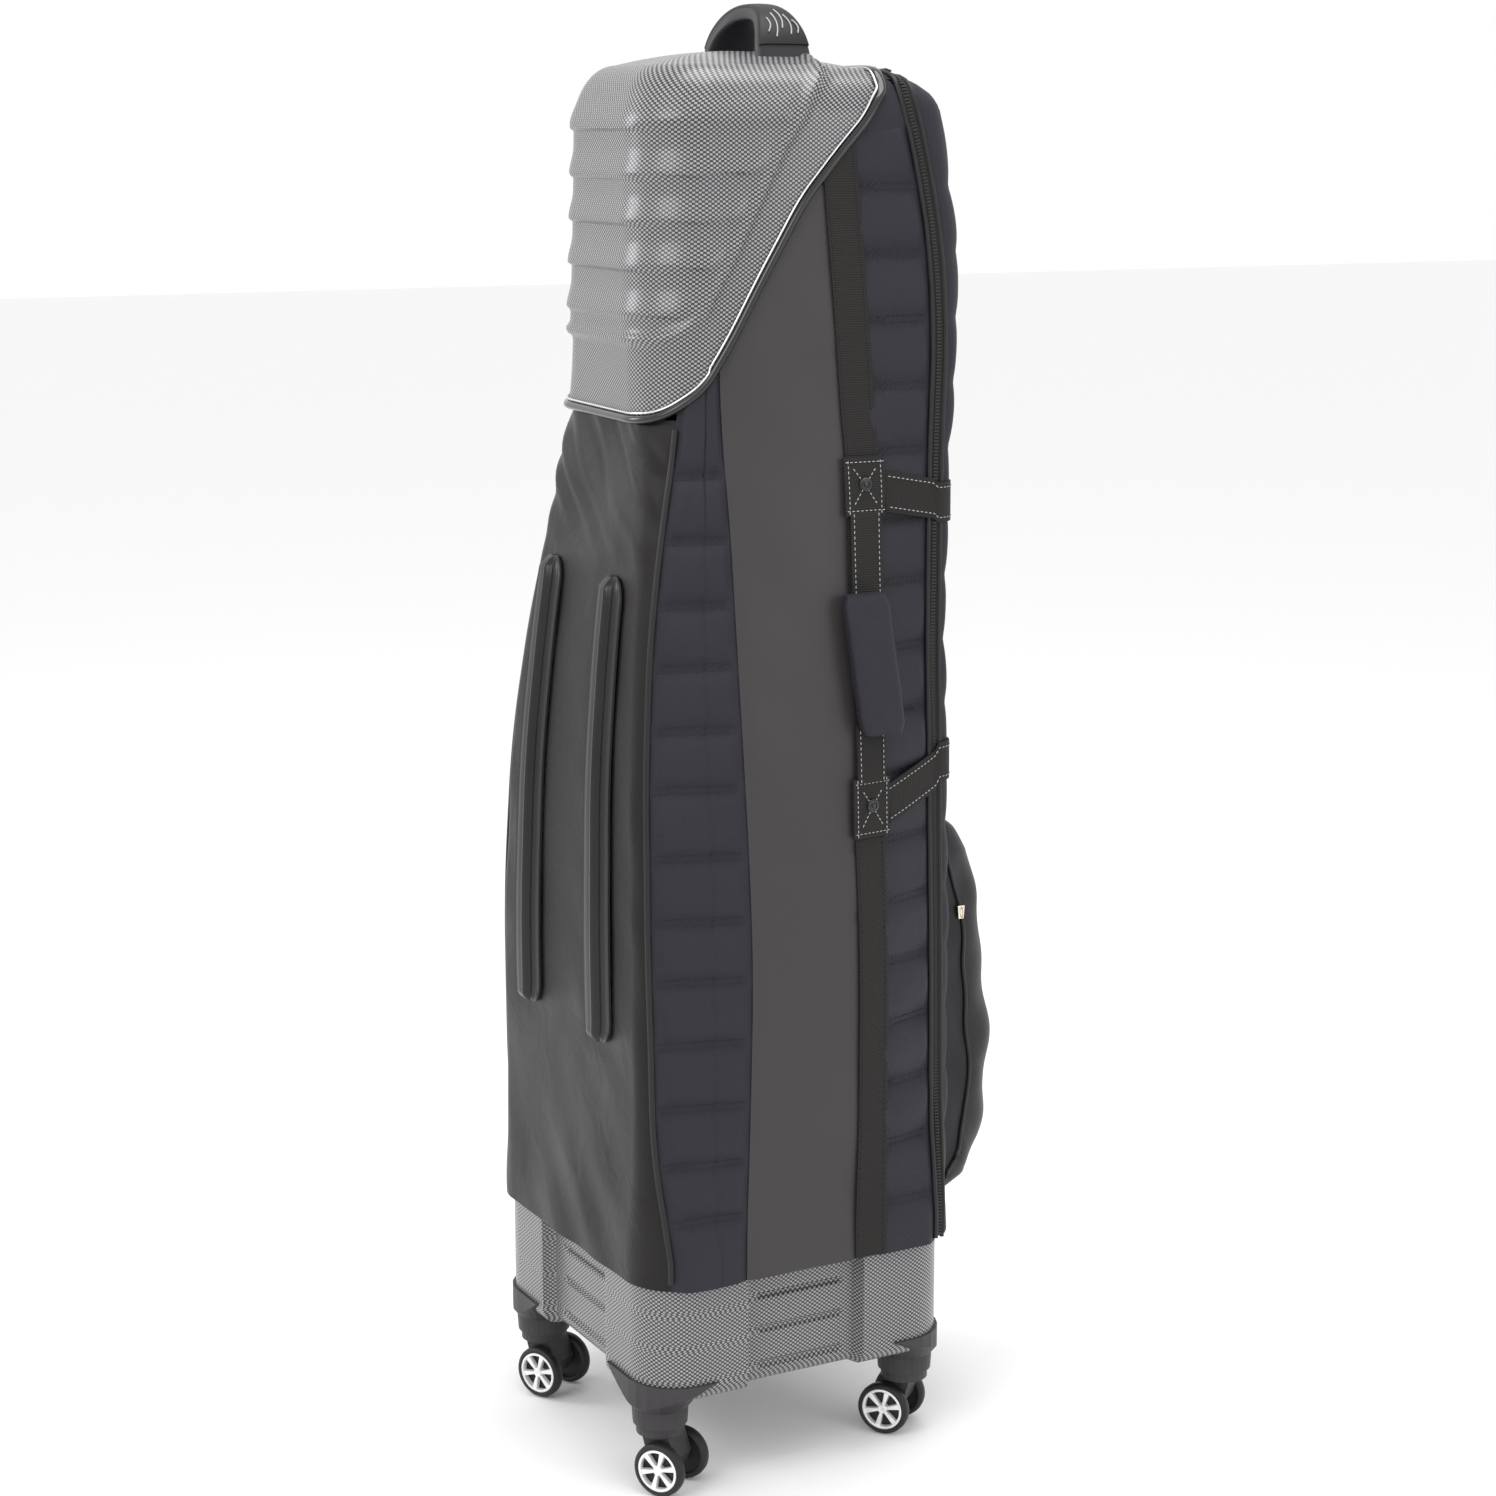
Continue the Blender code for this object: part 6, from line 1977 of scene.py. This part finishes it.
@dataclass
class Studio:
    """A pale floor, soft lights and the camera."""

    place: Vector
    eye: tuple = (2.39996, -1.28437, 1.208)
    forward: tuple = (-0.85928, 0.47043, -0.20082)
    lens: float = 72.19
    sensor: float = 36.0
    far: float = 30.0
    floor_size: float = 40.0
    floor_level: float = -0.0002
    floor_colour: tuple = (0.93, 0.93, 0.93, 1.0)
    sky_colour: tuple = (1.0, 1.0, 1.0, 1.0)
    sky_strength: float = 1.0
    aim: tuple = (0, 0, 0.75)
    lamps: tuple = (("key", (1.2, -2.6, 2.6), 1.6, 30.0, (1.0, 0.99, 0.97)),
                    ("rim", (-1.6, -2.0, 1.8), 0.9, 18.0, (0.97, 0.98, 1.0)),
                    ("fill", (3.0, 1.4, 1.6), 1.4, 12.0, (0.98, 0.97, 1.0)),
                    ("top", (0.3, 0.2, 3.2), 1.4, 30.0, (1.0, 1.0, 1.0)))

    def build(self) -> None:
        """Make the studio."""
        camera = bpy.data.objects.new("camera", bpy.data.cameras.new("camera"))
        bpy.context.scene.collection.objects.link(camera)
        camera.data.lens = self.lens
        camera.data.sensor_width = self.sensor
        camera.data.clip_end = self.far
        camera.location = Vector(self.eye) + self.place
        camera.rotation_euler = Vector(self.forward).to_track_quat("-Z", "Y").to_euler()
        bpy.context.scene.camera = camera
        deselect()
        bpy.ops.mesh.primitive_plane_add(size=self.floor_size, location=(0, 0, self.floor_level))
        floor = bpy.context.active_object
        floor.name = "studio_floor"
        material, _, shader = start_material("pale_floor")
        shader.inputs["Base Color"].default_value = self.floor_colour
        shader.inputs["Roughness"].default_value = 0.9
        floor.data.materials.append(material)
        world = bpy.data.worlds.new("studio")
        world.use_nodes = True
        sky = world.node_tree.nodes["Background"]
        sky.inputs[0].default_value = self.sky_colour
        sky.inputs[1].default_value = self.sky_strength
        bpy.context.scene.world = world
        bpy.context.scene.view_settings.view_transform = "Standard"
        for name, at, size, power, colour in self.lamps:
            light = bpy.data.lights.new(name, "AREA")
            light.shape = "SQUARE"
            light.size = size
            light.energy = power
            light.color = colour
            lamp = bpy.data.objects.new(name, light)
            bpy.context.scene.collection.objects.link(lamp)
            lamp.location = at
            way = Vector(self.aim) - Vector(at)
            lamp.rotation_euler = way.to_track_quat("-Z", "Y").to_euler()


def main() -> None:
    """Build the case's looks, part by part."""
    logging.basicConfig(level=logging.INFO, format="%(message)s")
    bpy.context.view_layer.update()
    form = CaseForm()
    palette = Palette()
    Studio(form.place).build()
    for section in (SoftBody, Hood, Base, Straps, Rails, TopHandle, Lid):
        section(form, palette).build()
    Casters(palette).build()
    dress_inside(palette)


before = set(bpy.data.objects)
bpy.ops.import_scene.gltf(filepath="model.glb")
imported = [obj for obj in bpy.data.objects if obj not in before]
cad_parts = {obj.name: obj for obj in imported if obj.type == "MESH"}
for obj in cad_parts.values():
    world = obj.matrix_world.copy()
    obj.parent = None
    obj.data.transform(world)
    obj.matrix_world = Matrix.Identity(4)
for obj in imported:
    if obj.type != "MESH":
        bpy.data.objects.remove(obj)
if __name__ == "__main__":
    main()
